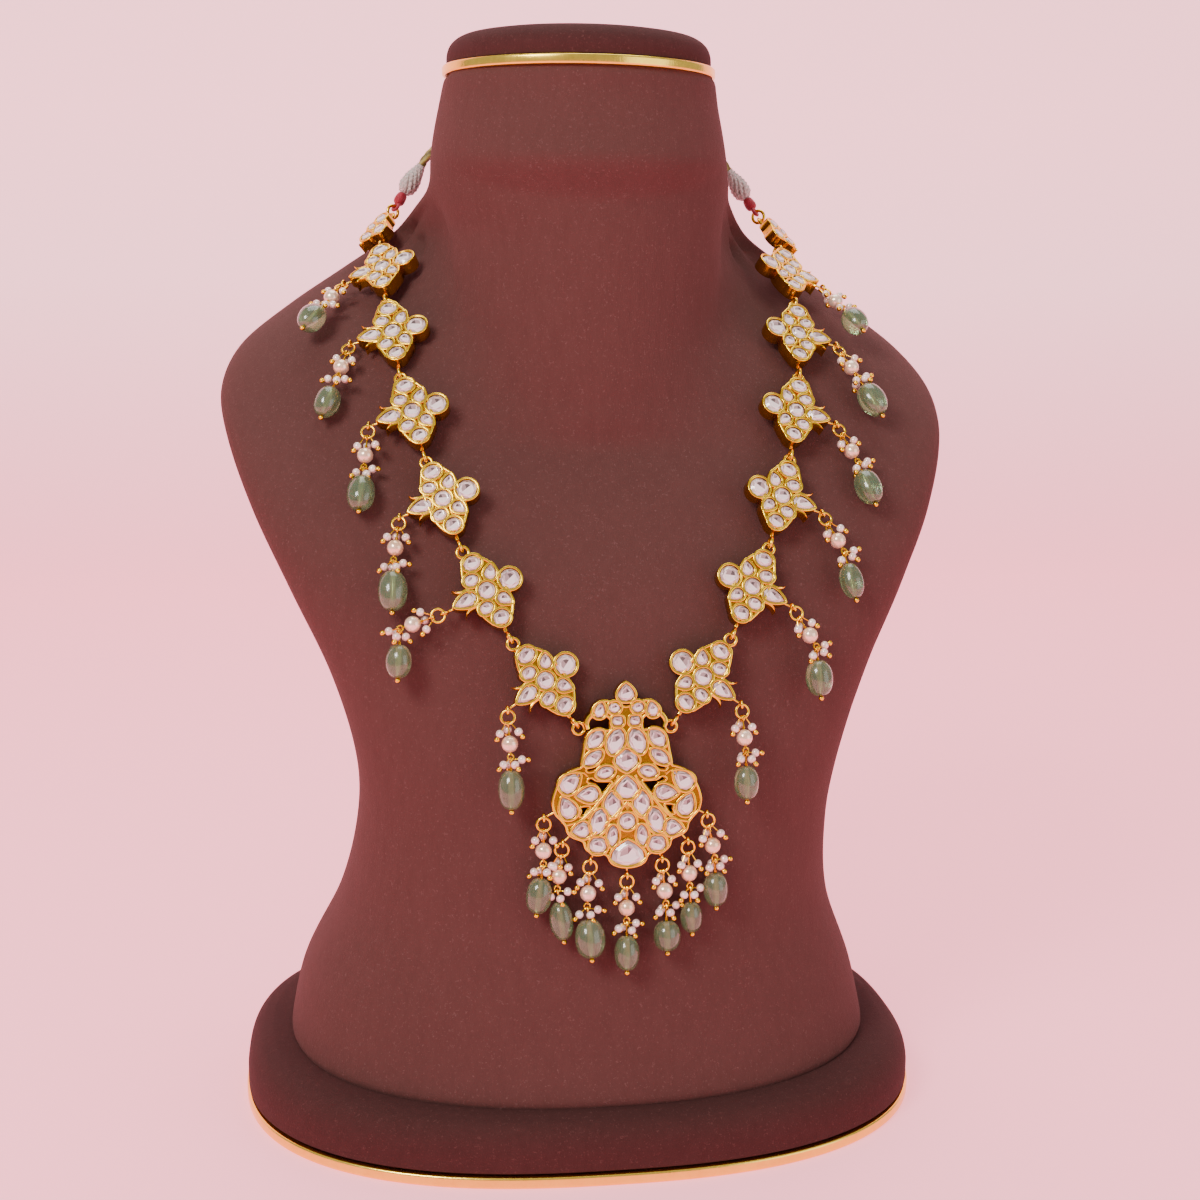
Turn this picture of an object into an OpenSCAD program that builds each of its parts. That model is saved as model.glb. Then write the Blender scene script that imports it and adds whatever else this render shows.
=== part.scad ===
// Kundan necklace on its padded display neck bust
// Millimetres. X is the viewer's right, -Y is the front, Z is up, origin under the middle of the base.

/* [Bust] */
// Width of the padded base
base_w = 247; // [225:1:290]
// Depth of the padded base
base_d = 195; // [180:1:230]
// Height of the padded base
base_h = 22; // [18:1:30]
// Height of the gold piping round the foot of the base
trim_h = 4; // [3:0.5:6]
// Thickness of the gold piping
trim_t = 3; // [2:0.5:5]
// Height of the bust between the base and the gold neck band
body_h = 345; // [320:1:370]
// Width of the bust across the shoulders
shoulder_w = 268; // [250:1:290]
// Depth that the bust's side profile is a share of
body_d = 172; // [160:1:185]
// Width of the neck column
neck_w = 97; // [90:1:104]
// Depth of the neck column
neck_d = 90; // [84:1:96]
// Distance of the neck column's axis behind the middle of the base
neck_back = 22; // [16:1:28]
// Height of the gold neck band
band_h = 3.6; // [2.5:0.1:6]
// How far the gold neck band stands out
band_out = 0.8; // [0.4:0.1:1.5]
// Height of the cap above the band
cap_h = 11.4; // [8:0.2:16]

/* [Necklace] */
// Length of a link from its top stone to its bottom stone
link_l = 26; // [24:0.5:28]
// Length of the pendant from its crown stone to its lowest one
pendant_l = 62; // [59:0.5:64]
// Sideways place of the necklace's middle on the bust
necklace_x = 6.5; // [0:0.5:8]
// Height of the pendant's middle
pendant_z = 133.5; // [128:0.5:140]
// Distance of the pendant's back in front of the bust's axis
pendant_fwd = 70.6; // [70:0.1:74]
// Lean of the pendant, which lies on the chest
pendant_lean = 8; // [5:0.5:12]
// Thickness of the pendant and of every link plate
plate_t = 5; // [4:0.1:6]
// Depth of the stone pockets
pocket_h = 1.4; // [1:0.1:2]
// Width of the gold rim round the stones
rim_w = 0.7; // [0.5:0.05:0.9]
// Height of the stones above the rim
stone_up = 0.5; // [0.2:0.1:1]

/* [Joining loops] */
// Radius of a link's loop to the middle of its wire
loop_r = 1.95; // [1.8:0.05:2.1]
// Thickness of a loop's wire
loop_wire = 1.2; // [1.1:0.05:1.3]
// Radius of a drop's jump ring to the middle of its wire
ring_r = 2.25; // [2:0.05:2.6]
// Thickness of the jump ring's wire
ring_wire = 0.9; // [0.7:0.05:1]
// Radius of the eye that carries a jump ring, to the middle of its wire
eye_r = 1.25; // [1.15:0.05:1.4]
// Thickness of the eye's wire
eye_wire = 0.9; // [0.7:0.05:1]
// Radius of a pin's loop to the middle of its wire
pin_loop_r = 0.95; // [0.9:0.01:1.1]
// Thickness of the pins' wire
pin_wire = 0.6; // [0.5:0.05:0.7]

/* [Drops] */
// Diameter of the pearls
pearl_d = 5.6; // [5:0.1:6]
// Width of a full sized green bead
bead_w = 9.2; // [8:0.1:10]
// Length of a full sized green bead
bead_l = 12; // [11:0.1:13]
// Diameter of the ball that ends a bead's pin
tip_d = 1.8; // [1.4:0.1:2.2]
// Distance from a jump ring's middle to the pearl's middle
pearl_reach = 8.8; // [7.8:0.1:9]
// Distance from a pearl's middle to the bead's middle
bead_reach = 15.1; // [14:0.1:16]

/* [Cord] */
// Diameter of the silk cord behind the neck
cord_d = 3.2; // [2.4:0.1:4]
// Diameter of the bound bundle of metal threads
bundle_d = 8; // [6:0.2:9]
// Length of the bound bundle of metal threads
bundle_l = 13; // [11:0.5:14]
// Diameter of the silk wrapping between the bundle and its gold ring
wrap_d = 4.4; // [3.6:0.1:5]
// Length of the silk wrapping
wrap_l = 5; // [4:0.2:6]

/* [Clearances] */
// Gap between a stone and its pocket
stone_gap = 0.12; // [0.1:0.01:0.2]
// Gap between a pin and the bead that it goes through
pin_gap = 0.15; // [0.1:0.01:0.3]
// Gap between neighbouring pieces of the bust
seam_gap = 0.3; // [0.2:0.05:0.5]
// Gap between a hanging piece and the velvet behind it
velvet_gap = 1.2; // [1:0.05:1.5]

/* [Hidden] */

// Plain maths on points, angles in degrees
function unit(v) = v / norm(v);
function sgn_pow(v, p) = sign(v) * pow(abs(v), p);
function flat_on(v, n) = unit(v - (v * n) * n);
function facing(az, el) = [sin(az) * cos(el), -cos(az) * cos(el), sin(el)];
// Matrix that carries local x, y, z to the directions a, b, c at the point o
function frame(a, b, c, o) = [
    [a[0], b[0], c[0], o[0]],
    [a[1], b[1], c[1], o[1]],
    [a[2], b[2], c[2], o[2]],
    [0, 0, 0, 1]
];
function carry(m, p) = [for (r = [0:2]) m[r][0] * p[0] + m[r][1] * p[1] + m[r][2] * p[2] + m[r][3]];

// Smooth curve through the rows of a table whose first column rises
function slope(t, c, i) = let (a = max(i - 1, 0), b = min(i + 1, len(t) - 1))
    (t[b][c] - t[a][c]) / (t[b][0] - t[a][0]);
function row_below(t, v, i = 0) = (i >= len(t) - 2 || t[i + 1][0] > v) ? i : row_below(t, v, i + 1);
function along(t, c, v) = let (
        i = row_below(t, v),
        h = t[i + 1][0] - t[i][0],
        k = min(max((v - t[i][0]) / h, 0), 1)
    )
    (2 * k ^ 3 - 3 * k ^ 2 + 1) * t[i][c] + (k ^ 3 - 2 * k ^ 2 + k) * h * slope(t, c, i)
    + (3 * k ^ 2 - 2 * k ^ 3) * t[i + 1][c] + (k ^ 3 - k ^ 2) * h * slope(t, c, i + 1);

// Bust sections from the base to the neck band. Columns: height as a share of body_h,
// half width as a share of half of shoulder_w, then the widest line, the front, the back
// (forward shares of body_d), the sideways sway as a share of shoulder_w, and the neck
// column's half width and half depth as shares of neck_w and neck_d halves.
SECTIONS = [
    [0.000, 0.805,  0.000,  0.505, -0.495, 0.000, 0.00, 0.00],
    [0.067, 0.765,  0.000,  0.470, -0.450, 0.000, 0.00, 0.00],
    [0.153, 0.673,  0.035,  0.440, -0.370, 0.005, 0.00, 0.00],
    [0.240, 0.637,  0.093,  0.422, -0.300, 0.012, 0.00, 0.00],
    [0.313, 0.647,  0.140,  0.405, -0.255, 0.017, 0.00, 0.00],
    [0.400, 0.712,  0.150,  0.370, -0.233, 0.019, 0.00, 0.00],
    [0.487, 0.816,  0.128,  0.313, -0.244, 0.019, 0.00, 0.00],
    [0.560, 0.910,  0.058,  0.232, -0.280, 0.020, 0.00, 0.00],
    [0.632, 0.985, -0.070,  0.134, -0.337, 0.021, 0.87, 0.88],
    [0.678, 1.000, -0.198,  0.076, -0.384, 0.018, 0.97, 0.98],
    [0.722, 0.940, -0.290,  0.010, -0.430, 0.013, 1.00, 1.01],
    [0.765, 0.807, -0.350, -0.090, -0.460, 0.013, 1.03, 1.02],
    [0.806, 0.655, -0.370, -0.245, -0.470, 0.015, 1.03, 1.02],
    [0.841, 0.522, -0.350, -0.275, -0.440, 0.015, 1.03, 1.02],
    [0.875, 0.418, -0.240, -0.120, -0.330, 0.010, 1.08, 1.02],
    [0.916, 0.224, -0.128, -0.012, -0.244, 0.006, 1.11, 1.02],
    [1.000, 0.149, -0.128, -0.012, -0.244, 0.005, 1.00, 1.00]
];
body_power = 2.3;
blend_power = 7;
body_sides = 48;
// Rings of the bust's surface as shares of body_h, closer together over the shoulders
shoulder_from = 0.6;
shoulder_to = 0.94;
RING_SHARES = concat(
    [for (i = [0:14]) shoulder_from * i / 15],
    [for (i = [0:15]) shoulder_from + (shoulder_to - shoulder_from) * i / 15],
    [1]
);
body_top = base_h + body_h;

// One section at height z: [half width, widest line, front, back, sway, neck half width, half depth]
function section_at(z) = let (h = (z - base_h) / body_h) [
    along(SECTIONS, 1, h) * shoulder_w / 2,
    along(SECTIONS, 2, h) * body_d,
    along(SECTIONS, 3, h) * body_d,
    along(SECTIONS, 4, h) * body_d,
    along(SECTIONS, 5, h) * shoulder_w,
    max(along(SECTIONS, 6, h) * neck_w / 2, 0.01),
    max(along(SECTIONS, 7, h) * neck_d / 2, 0.01)
];
// Distance from the section's middle to the velvet in the direction t, 90 is the front
function body_radius(s, t) = let (depth = sin(t) > 0 ? s[2] - s[1] : s[1] - s[3])
    pow(pow(abs(cos(t)) / s[0], body_power) + pow(abs(sin(t)) / depth, body_power), -1 / body_power);
function neck_radius(s, t) = let (
        o = s[1] + neck_back,
        a = (cos(t) / s[5]) ^ 2 + (sin(t) / s[6]) ^ 2,
        b = sin(t) * o / s[6] ^ 2,
        d = b ^ 2 - a * ((o / s[6]) ^ 2 - 1)
    )
    d > 0 ? max((sqrt(d) - b) / a, 0) : 0;
function velvet_radius(s, t) =
    pow(pow(body_radius(s, t), blend_power) + pow(neck_radius(s, t), blend_power), 1 / blend_power);
function velvet_ring(z, sides) = let (s = section_at(z))
    [for (k = [0:sides - 1]) let (t = 90 + 360 * k / sides, r = velvet_radius(s, -t))
        [s[4] + r * cos(t), -s[1] + r * sin(t), z]];
// The same closed ring with count points at even steps along it
function evened(ring, count) = let (
        n = len(ring),
        step = [for (i = [0:n - 1]) norm(ring[(i + 1) % n] - ring[i])],
        walk = [for (i = 0, l = 0; i <= n; l = l + step[i % n], i = i + 1) [l, ring[i % n]]]
    )
    [for (k = [0:count - 1]) let (
        l = walk[n][0] * k / count,
        i = row_below(walk, l),
        f = (l - walk[i][0]) / (walk[i + 1][0] - walk[i][0])
    )
    (1 - f) * walk[i][1] + f * walk[i + 1][1]];

// How far the point p is outside the velvet, and which way is out
function outside(p) = let (
        s = section_at(p[2]),
        x = p[0] - s[4],
        f = -p[1] - s[1]
    )
    norm([x, f]) - velvet_radius(s, atan2(f, x));
function steepness(p) = let (e = 0.5) [
    outside(p + [e, 0, 0]) - outside(p - [e, 0, 0]),
    outside(p + [0, e, 0]) - outside(p - [0, e, 0]),
    outside(p + [0, 0, e]) - outside(p - [0, 0, e])
] / (2 * e);
// Moves p straight out of or into the velvet until it is h from it
function seated(p, h, tries = 2) = tries == 0 ? p : let (g = steepness(p))
    seated(p + (h - outside(p) / norm(g)) * unit(g), h, tries - 1);

// Closed solid through rings of equal length, lowest first, each counterclockwise from above
module lofted(rings) {
    n = len(rings[0]);
    m = len(rings);
    points = [for (r = rings) for (p = r) p];
    // Each four-sided patch is split along its shorter diagonal
    walls = [for (i = [0:m - 2]) for (k = [0:n - 1]) let (
            a = i * n + k,
            b = (i + 1) * n + k,
            c = (i + 1) * n + (k + 1) % n,
            d = i * n + (k + 1) % n,
            split = norm(points[a] - points[c]) <= norm(points[b] - points[d])
        )
        each split ? [[a, b, c], [a, c, d]] : [[a, b, d], [b, c, d]]];
    bottom = [[for (k = [0:n - 1]) k]];
    top = [[for (k = [n - 1:-1:0]) (m - 1) * n + k]];
    polyhedron(points, concat(walls, bottom, top));
}

// Superellipse outline of the plan sizes w and d
function plan(w, d, power, sides) = [for (k = [0:sides - 1]) let (t = 360 * k / sides)
    [w / 2 * sgn_pow(cos(t), 2 / power), d / 2 * sgn_pow(sin(t), 2 / power)]];
function raised(outline, z) = [for (p = outline) [p[0], p[1], z]];

base_power = 2.5;
base_sides = 48;
trim_out = 0.6;
// Profile of the padded base above its piping. Columns: height and inset as shares of base_h
BASE_EDGE = [[0.25, 0], [0.5, 0], [0.7, 0.04], [0.84, 0.12], [0.94, 0.24], [1, 0.42]];

module bust_base() {
    inner = trim_t - trim_out + seam_gap;
    foot = [[0, inner], [trim_h + seam_gap, inner]];
    color("#4b2f30")
    lofted([for (e = concat(foot, base_h * BASE_EDGE))
        raised(plan(base_w - 2 * e[1], base_d - 2 * e[1], base_power, base_sides), e[0])]);
}

module base_trim() {
    module foot(out) {
        polygon(plan(base_w + 2 * out, base_d + 2 * out, base_power, base_sides));
    }
    color("#d9a441")
    linear_extrude(trim_h)
    difference() {
        foot(trim_out);
        foot(trim_out - trim_t);
    }
}

module bust_body() {
    color("#6b4542")
    lofted([for (h = RING_SHARES) evened(velvet_ring(base_h + body_h * h, 4 * body_sides), body_sides)]);
}

// Ellipse round the neck's axis, as far outside the neck as out
function neck_plan(out) = [for (p = plan(neck_w + 2 * out, neck_d + 2 * out, 2, body_sides))
    p + [SECTIONS[len(SECTIONS) - 1][5] * shoulder_w, neck_back]];
band_core = 4;

module neck_band() {
    color("#e0b04a")
    translate([0, 0, body_top])
    linear_extrude(band_h)
    difference() {
        polygon(neck_plan(band_out));
        polygon(neck_plan(-band_core));
    }
}

// Profile of the cap above the band. Columns: height and inset as shares of cap_h
CAP_EDGE = [[0, 0.07], [0.35, 0.09], [0.65, 0.23], [0.88, 0.57], [1, 1.14]];

module neck_cap() {
    plug = band_core + seam_gap;
    rows = concat(
        [[0, plug], [band_h + seam_gap, plug]],
        [for (e = CAP_EDGE) [band_h + seam_gap + e[0] * (cap_h - seam_gap), e[1] * cap_h]]
    );
    color("#3f2729")
    lofted([for (r = rows) raised(neck_plan(-r[1]), body_top + r[0])]);
}

// Outline of a stone lying along y. Kinds: drop has its point at +y, leaf has two points,
// a number is the power of a rounded form, 2 for an oval, 1.3 for a diamond, 4 for a square.
stone_sides = 10;
drop_taper = 0.9;
drop_widest = 0.79;
leaf_taper = 0.25;
function stone_outline(kind, l, w) = [for (k = [0:stone_sides - 1]) let (t = -360 * k / stone_sides)
    kind == "drop" ? [w / 2 * sin(t) * abs(sin(t / 2)) ^ drop_taper / drop_widest, l / 2 * cos(t)] :
    kind == "leaf" ? [w / 2 * sin(t) * abs(sin(t)) ^ leaf_taper, l / 2 * cos(t)] :
    [w / 2 * sgn_pow(sin(t), 2 / kind), l / 2 * sgn_pow(cos(t), 2 / kind)]];

function sized(l, stones) = [for (s = stones) [s[0], l * s[1], l * s[2], l * s[3], l * s[4], s[5]]];

// Stones of one link and of the end piece as shares of link_l. Columns: kind, x away from the
// necklace's middle, y up the chain, length, width, turn in degrees
LINK_STONES = sized(link_l, [
    [2, -0.02, 0, 0.22, 0.22, 0],
    [2, -0.35, 0, 0.265, 0.265, 0],
    [2, -0.02, 0.405, 0.19, 0.235, 0],
    [2, -0.02, -0.4, 0.2, 0.215, 0],
    ["drop", -0.175, 0.2, 0.2, 0.15, 34],
    ["drop", -0.175, -0.205, 0.2, 0.15, 146],
    [2, 0.095, 0.205, 0.15, 0.19, 8],
    [2, 0.095, -0.205, 0.15, 0.19, -8],
    ["drop", 0.29, 0, 0.3, 0.175, -90]
]);
END_STONES = sized(link_l, [
    [2, 0, 0, 0.2, 0.2, 0],
    [2, 0.01, 0.265, 0.175, 0.185, 0],
    [2, 0.16, 0.16, 0.125, 0.125, 0],
    [2, 0.225, -0.035, 0.16, 0.19, 30]
]);
// Pendant stones of the middle and of its right half, which the left half mirrors, in the same
// columns but as shares of pendant_l
PENDANT_MIDDLE = [
    ["drop", 0, 0.444, 0.092, 0.09, 0],
    [1.4, 0, 0.08, 0.117, 0.13, 0],
    ["drop", 0, -0.064, 0.12, 0.124, 0],
    [2, 0, -0.247, 0.087, 0.087, 0],
    ["drop", 0, -0.417, 0.136, 0.186, 0]
];
PENDANT_SIDE = [
    ["drop", 0.143, 0.353, 0.082, 0.062, 15],
    [2, 0.063, 0.364, 0.057, 0.062, 0],
    [4, 0.047, 0.292, 0.046, 0.056, 0],
    ["leaf", 0.058, 0.182, 0.14, 0.09, 20],
    ["leaf", 0.167, 0.197, 0.115, 0.075, 38],
    ["leaf", 0.18, 0.097, 0.115, 0.062, 52],
    ["leaf", 0.116, 0.018, 0.096, 0.062, 75],
    ["drop", 0.303, -0.03, 0.13, 0.094, 48],
    ["drop", 0.214, -0.098, 0.12, 0.082, -95],
    ["drop", 0.323, -0.165, 0.124, 0.088, -25],
    [1.4, 0.079, -0.153, 0.136, 0.094, -3],
    ["leaf", 0.155, -0.247, 0.142, 0.084, 14],
    ["drop", 0.252, -0.288, 0.094, 0.084, -98],
    ["leaf", 0.08, -0.323, 0.112, 0.058, 5],
    [2.4, 0.16, -0.372, 0.084, 0.092, 0]
];
function mirrored(stones) = [for (s = stones) [s[0], -s[1], s[2], s[3], s[4], -s[5]]];
PENDANT_STONES = sized(pendant_l, concat(PENDANT_MIDDLE, PENDANT_SIDE, mirrored(PENDANT_SIDE)));

module stone_shape(s) {
    translate([s[1], s[2]])
    rotate(s[5])
    polygon(stone_outline(s[0], s[3], s[4]));
}

// Size of a stone's table as a share of the stone, and depth of its widest line below the rim
table_share = 0.62;
girdle_depth = 0.3;

module cut_stone(s) {
    girdle = stone_outline(s[0], s[3], s[4]);
    table = stone_outline(s[0], s[3] * table_share, s[4] * table_share);
    bottom = plate_t - pocket_h + stone_gap;
    translate([s[1], s[2], 0])
    rotate(s[5])
    lofted([
        raised(girdle, bottom),
        raised(girdle, plate_t - girdle_depth),
        raised(table, plate_t + stone_up)
    ]);
}

// How wide a space between neighbouring rims is still filled with gold, on each side
link_spans = 0.4;
pendant_spans = 0.5;

// Gold plate with a pocket for each stone. Its children are flat shapes that join the stones before
// the rim goes round them, and thorns are outlines that stand out past the rim.
module plate(stones, spans, thorns = []) {
    module outline() {
        for (t = thorns) polygon(t);
        offset(r = -spans)
        offset(r = rim_w + stone_gap + spans)
        union() {
            for (s = stones) stone_shape(s);
            children();
        }
    }
    module pockets() {
        offset(delta = stone_gap)
        for (s = stones) stone_shape(s);
    }
    linear_extrude(plate_t - pocket_h)
    outline() children();
    translate([0, 0, plate_t - pocket_h])
    linear_extrude(pocket_h)
    difference() {
        outline() children();
        pockets();
    }
}

// Wire ring lying in the local xy plane
module wire_ring(r, wire) {
    rotate_extrude($fn = 24)
    translate([r, 0])
    circle(d = wire, $fn = 16);
}

module wire_bar(a, b, wire) {
    d = b - a;
    translate(a)
    rotate([0, acos(d[2] / norm(d)), atan2(d[1], d[0])])
    cylinder(d = wire, h = norm(d), $fn = 16);
}

// Height of the loops above the back of their plate, and how far loop and eye stand off its stones
loop_rise = 0.45;
loop_z = loop_wire / 2 + loop_rise;
loop_stand = 0.45;
eye_stand = 1.55;
link_play = 0.35;
// How far the eye of one link sits above the loop of the next
link_step = 2 * loop_r - loop_wire - link_play;
function loop_at(edge) = edge + loop_r + loop_wire / 2 + loop_stand;
function eye_at(edge) = edge + loop_r + loop_wire / 2 + eye_stand;
// Upper and lower edge of the end piece's stones, and the outer tip of a link's stones
end_top = 0.352 * link_l;
end_bottom = 0.1 * link_l;
link_tip = 0.44 * link_l;
drop_stand = 1.35;
drop_eye = [link_tip + rim_w + stone_gap + drop_stand + eye_r + eye_wire / 2, 0, plate_t / 2];
// Gold ground between a link's stones, upper half, and the curved thorn beside its pointed stone
LINK_BODY = link_l * [
    [-0.25, 0], [-0.25, 0.15], [-0.245, 0.24], [-0.19, 0.35], [-0.12, 0.43], [0, 0.465],
    [0.09, 0.44], [0.125, 0.38], [0.158, 0.3], [0.18, 0.2], [0.18, 0]
];
THORN = link_l * [
    [0.2, 0.095], [0.27, 0.1], [0.315, 0.11], [0.352, 0.137], [0.372, 0.165], [0.385, 0.205],
    [0.352, 0.18], [0.313, 0.157], [0.26, 0.147], [0.2, 0.152]
];
END_BODY = link_l * [
    [-0.06, 0], [0, -0.06], [0.2, -0.09], [0.27, -0.03], [0.2, 0.17], [0.06, 0.3], [-0.05, 0.29],
    [-0.06, 0.14]
];
END_THORN = link_l * [[0.245, -0.132], [0.283, -0.116], [0.32, -0.14], [0.335, -0.19], [0.3, -0.16]];
stem_w = 1.6;
// How much thinner a stem is than its ring's wire, and how deep stems are rooted in the plate
stem_less = 0.2;
root = 0.5;

// Flat loop above a plate and upright eye below it, each on a short stem
module loops(top_edge, bottom_edge) {
    loop_y = loop_at(top_edge);
    eye_y = -eye_at(bottom_edge);
    stem_t = loop_wire - stem_less;
    translate([0, loop_y, loop_z]) wire_ring(loop_r, loop_wire);
    translate([-stem_w / 2, top_edge - root, loop_z - stem_t / 2])
        cube([stem_w, loop_y - loop_r - top_edge + root, stem_t]);
    translate([0, eye_y, loop_z]) rotate([0, 90, 0]) wire_ring(loop_r, loop_wire);
    translate([-stem_t / 2, eye_y + loop_r, loop_z - stem_t / 2])
        cube([stem_t, root - bottom_edge - eye_y - loop_r, stem_t]);
}

// Eye for a drop. Its wire circle holds the drop's own direction, given as an angle in the plate's plane.
module drop_eye_ring(at, angle) {
    translate(at) rotate([0, 0, angle]) rotate([90, 0, 0]) wire_ring(eye_r, eye_wire);
}

module link_plate(hang_angle) {
    color("#d9a441") {
        plate(LINK_STONES, link_spans, [THORN, [for (p = THORN) [p[0], -p[1]]]])
        for (m = [0, 1]) mirror([0, m]) polygon(LINK_BODY);
        loops(link_l / 2, link_l / 2);
        drop_eye_ring(drop_eye, hang_angle);
        wire_bar([link_tip - root, 0, drop_eye[2]],
            drop_eye - eye_r * [cos(hang_angle), sin(hang_angle), 0], eye_wire - stem_less);
    }
}

// Chain of one side from the pendant up to the cord, chosen by eye along the velvet.
// Columns: distance from the necklace's middle, forward, height
CHAIN_ROUTE = [
    [15.5, 69, 148.5],
    [37, 62, 176.5],
    [52.5, 48.5, 205],
    [63.5, 30.5, 233],
    [71, 10, 259.5],
    [75, -14.5, 285],
    [76, -44.5, 305],
    [72.5, -62, 318]
];
// How the six links and the end piece face, from the pendant up. Columns: outward angle, upward angle
LINK_FACING = [[-4, 17], [3, 24], [10, 30], [11, 36], [18, 44], [38, 52], [60, 50]];
link_count = 6;
pendant_loop = [0.25 * pendant_l, 0.25 * pendant_l, loop_z];

// Places of one half are given as [distance from the necklace's middle, y, z]
function half_point(r) = [r[0], -r[1], r[2]];
pendant_up = [0, sin(pendant_lean), cos(pendant_lean)];
PENDANT_FRAME = frame([1, 0, 0], pendant_up, facing(0, pendant_lean), [0, -pendant_fwd, pendant_z]);

// Frame of link i, counted from the pendant: x away from the middle, y up the chain, z off the velvet
function link_frame(i) = let (
        start = i == 0 ? carry(PENDANT_FRAME, pendant_loop)
                       : carry(link_frame(i - 1), [0, loop_at(link_l / 2), loop_z]),
        y = unit(half_point(CHAIN_ROUTE[i + 1]) - half_point(CHAIN_ROUTE[i])),
        z = flat_on(facing(LINK_FACING[i][0], LINK_FACING[i][1]), y),
        bottom = i == link_count ? end_bottom : link_l / 2
    )
    frame(cross(y, z), y, z, start + (link_step + eye_at(bottom)) * y - loop_z * z);
LINK_FRAMES = [for (i = [0:link_count]) link_frame(i)];
function to_world(side, p) = [necklace_x + side * p[0], p[1], p[2]];

module on_side(side) {
    translate([necklace_x, 0, 0])
    mirror([side < 0 ? 1 : 0, 0, 0])
    children();
}

// Drops of each link, from the top link down, and of the pendant from left to right.
// Columns: swing of the pearl and swing of the bead in degrees towards the viewer's right, then
// the bead's width and length as shares of the full sized bead
DROPS_LEFT = [
    [-44, -44, 1.05, 0.97], [-23, -23, 1, 0.93], [-8, -6, 1.07, 1.07], [-10, -3, 1.1, 1.12],
    [-72, -4, 0.97, 0.91], [3, 0, 0.98, 1.07]
];
DROPS_RIGHT = [
    [30, 30, 1.05, 0.95], [28, 28, 1.1, 1.05], [28, 14, 1.05, 1.06], [28, 10, 0.92, 1.02],
    [31, 4, 1.03, 1], [4, 1, 0.92, 0.93]
];
DROPS_PENDANT = [
    [-1, -8, 0.95, 0.97], [-7, 7, 0.88, 1.05], [-4.5, 4, 1.12, 1.05], [-0.6, -0.9, 0.95, 0.95],
    [5, 0.4, 1.02, 0.84], [2.6, 3, 0.84, 0.84], [10.5, 2, 0.95, 0.94]
];
// Eyes under the pendant from left to right, sideways and up
PENDANT_EYES = pendant_l * [
    [-0.445, -0.221], [-0.346, -0.361], [-0.197, -0.459], [0, -0.545],
    [0.191, -0.462], [0.334, -0.371], [0.44, -0.229]
];
pendant_eye_z = 0.44 * plate_t;
eye_root_share = 0.84;
pin_neck = 0.5;
pin_play = 0.2;

// Downward direction that the front view shows at the angle swing. Where the surface, which faces n,
// falls back below, it is free of the surface, and otherwise it lies in it.
function hang(n, swing) = let (free = [sin(swing), 0, -cos(swing)])
    free * n > 0 ? free : unit([free[0], (-free[2] * n[2] - free[0] * n[0]) / n[1], free[2]]);
// The point p, moved out of the velvet only where it is nearer to it than h
function resting(p, h) = outside(p) < h * norm(steepness(p)) ? seated(p, h) : p;
// Places along one drop: eye, jump ring, pin loop, pearl, lower pin loop, bead pin loop, bead, tip ball,
// then the outward direction and the three directions of ring, pearl and bead
function drop_places(eye, row) = let (
        n0 = unit(steepness(eye)),
        d0 = hang(n0, row[0]),
        ring = eye + ring_r * d0,
        loop_a = ring + ring_r * d0,
        pearl_sag = pearl_reach - ring_r,
        pearl_to = resting(loop_a + pearl_sag * d0, pearl_d / 2 + velvet_gap),
        d1 = unit(pearl_to - loop_a),
        pearl = loop_a + pearl_sag * d1,
        below = pearl_d / 2 + pin_neck + pin_loop_r,
        loop_b = pearl + below * d1,
        pin_step = 2 * pin_loop_r - pin_wire - pin_play,
        n1 = unit(steepness(loop_b)),
        bead_sag = bead_reach - below,
        bead_to = resting(loop_b + bead_sag * hang(n1, row[1]), row[2] * bead_w / 2 + velvet_gap),
        d2 = unit(bead_to - loop_b),
        loop_c = loop_b + pin_step * d2,
        bead = loop_b + bead_sag * d2,
        tip = bead + (row[3] * bead_l / 2 + tip_d / 2) * d2
    )
    [eye, ring, loop_a, pearl, loop_b, loop_c, bead, tip, n0, d0, d1, d2];
function link_eye(side, i) = to_world(side, carry(LINK_FRAMES[link_count - i], drop_eye));
function drops_of(side) =
    side == 0 ? [for (k = [0:len(PENDANT_EYES) - 1]) drop_places(to_world(1, carry(PENDANT_FRAME,
        [PENDANT_EYES[k][0], PENDANT_EYES[k][1], pendant_eye_z])), DROPS_PENDANT[k])]
    : [for (i = [1:link_count]) drop_places(link_eye(side, i), drop_rows(side)[i - 1])];
function drop_rows(side) = side == 0 ? DROPS_PENDANT : side < 0 ? DROPS_LEFT : DROPS_RIGHT;

// Carries children so that their z runs along d and their x faces as near n as it can
module aimed(at, d, n) {
    x = flat_on(n, d);
    multmatrix(frame(x, cross(d, x), d, at)) children();
}

// Direction of a link's drop in the plane of its plate
function hang_angle(side, i) = let (
        m = LINK_FRAMES[link_count - i],
        n = unit(steepness(link_eye(side, i))),
        d = hang(n, drop_rows(side)[i - 1][0]),
        h = [side * d[0], d[1], d[2]]
    )
    atan2(h * [m[0][1], m[1][1], m[2][1]], h * [m[0][0], m[1][0], m[2][0]]);

// Link i of a side, counted from the top
module link(side, i) {
    on_side(side)
    multmatrix(LINK_FRAMES[link_count - i])
    link_plate(hang_angle(side, i));
}

module end_piece(side) {
    on_side(side)
    multmatrix(LINK_FRAMES[link_count])
    color("#d9a441") {
        plate(END_STONES, link_spans, [END_THORN]) polygon(END_BODY);
        loops(end_top, end_bottom);
    }
}

module stones(side) {
    color("#f1ecf2")
    on_side(side) {
        for (i = [0:link_count - 1])
            multmatrix(LINK_FRAMES[i])
            for (s = LINK_STONES) cut_stone(s);
        multmatrix(LINK_FRAMES[link_count])
        for (s = END_STONES) cut_stone(s);
    }
}

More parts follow.
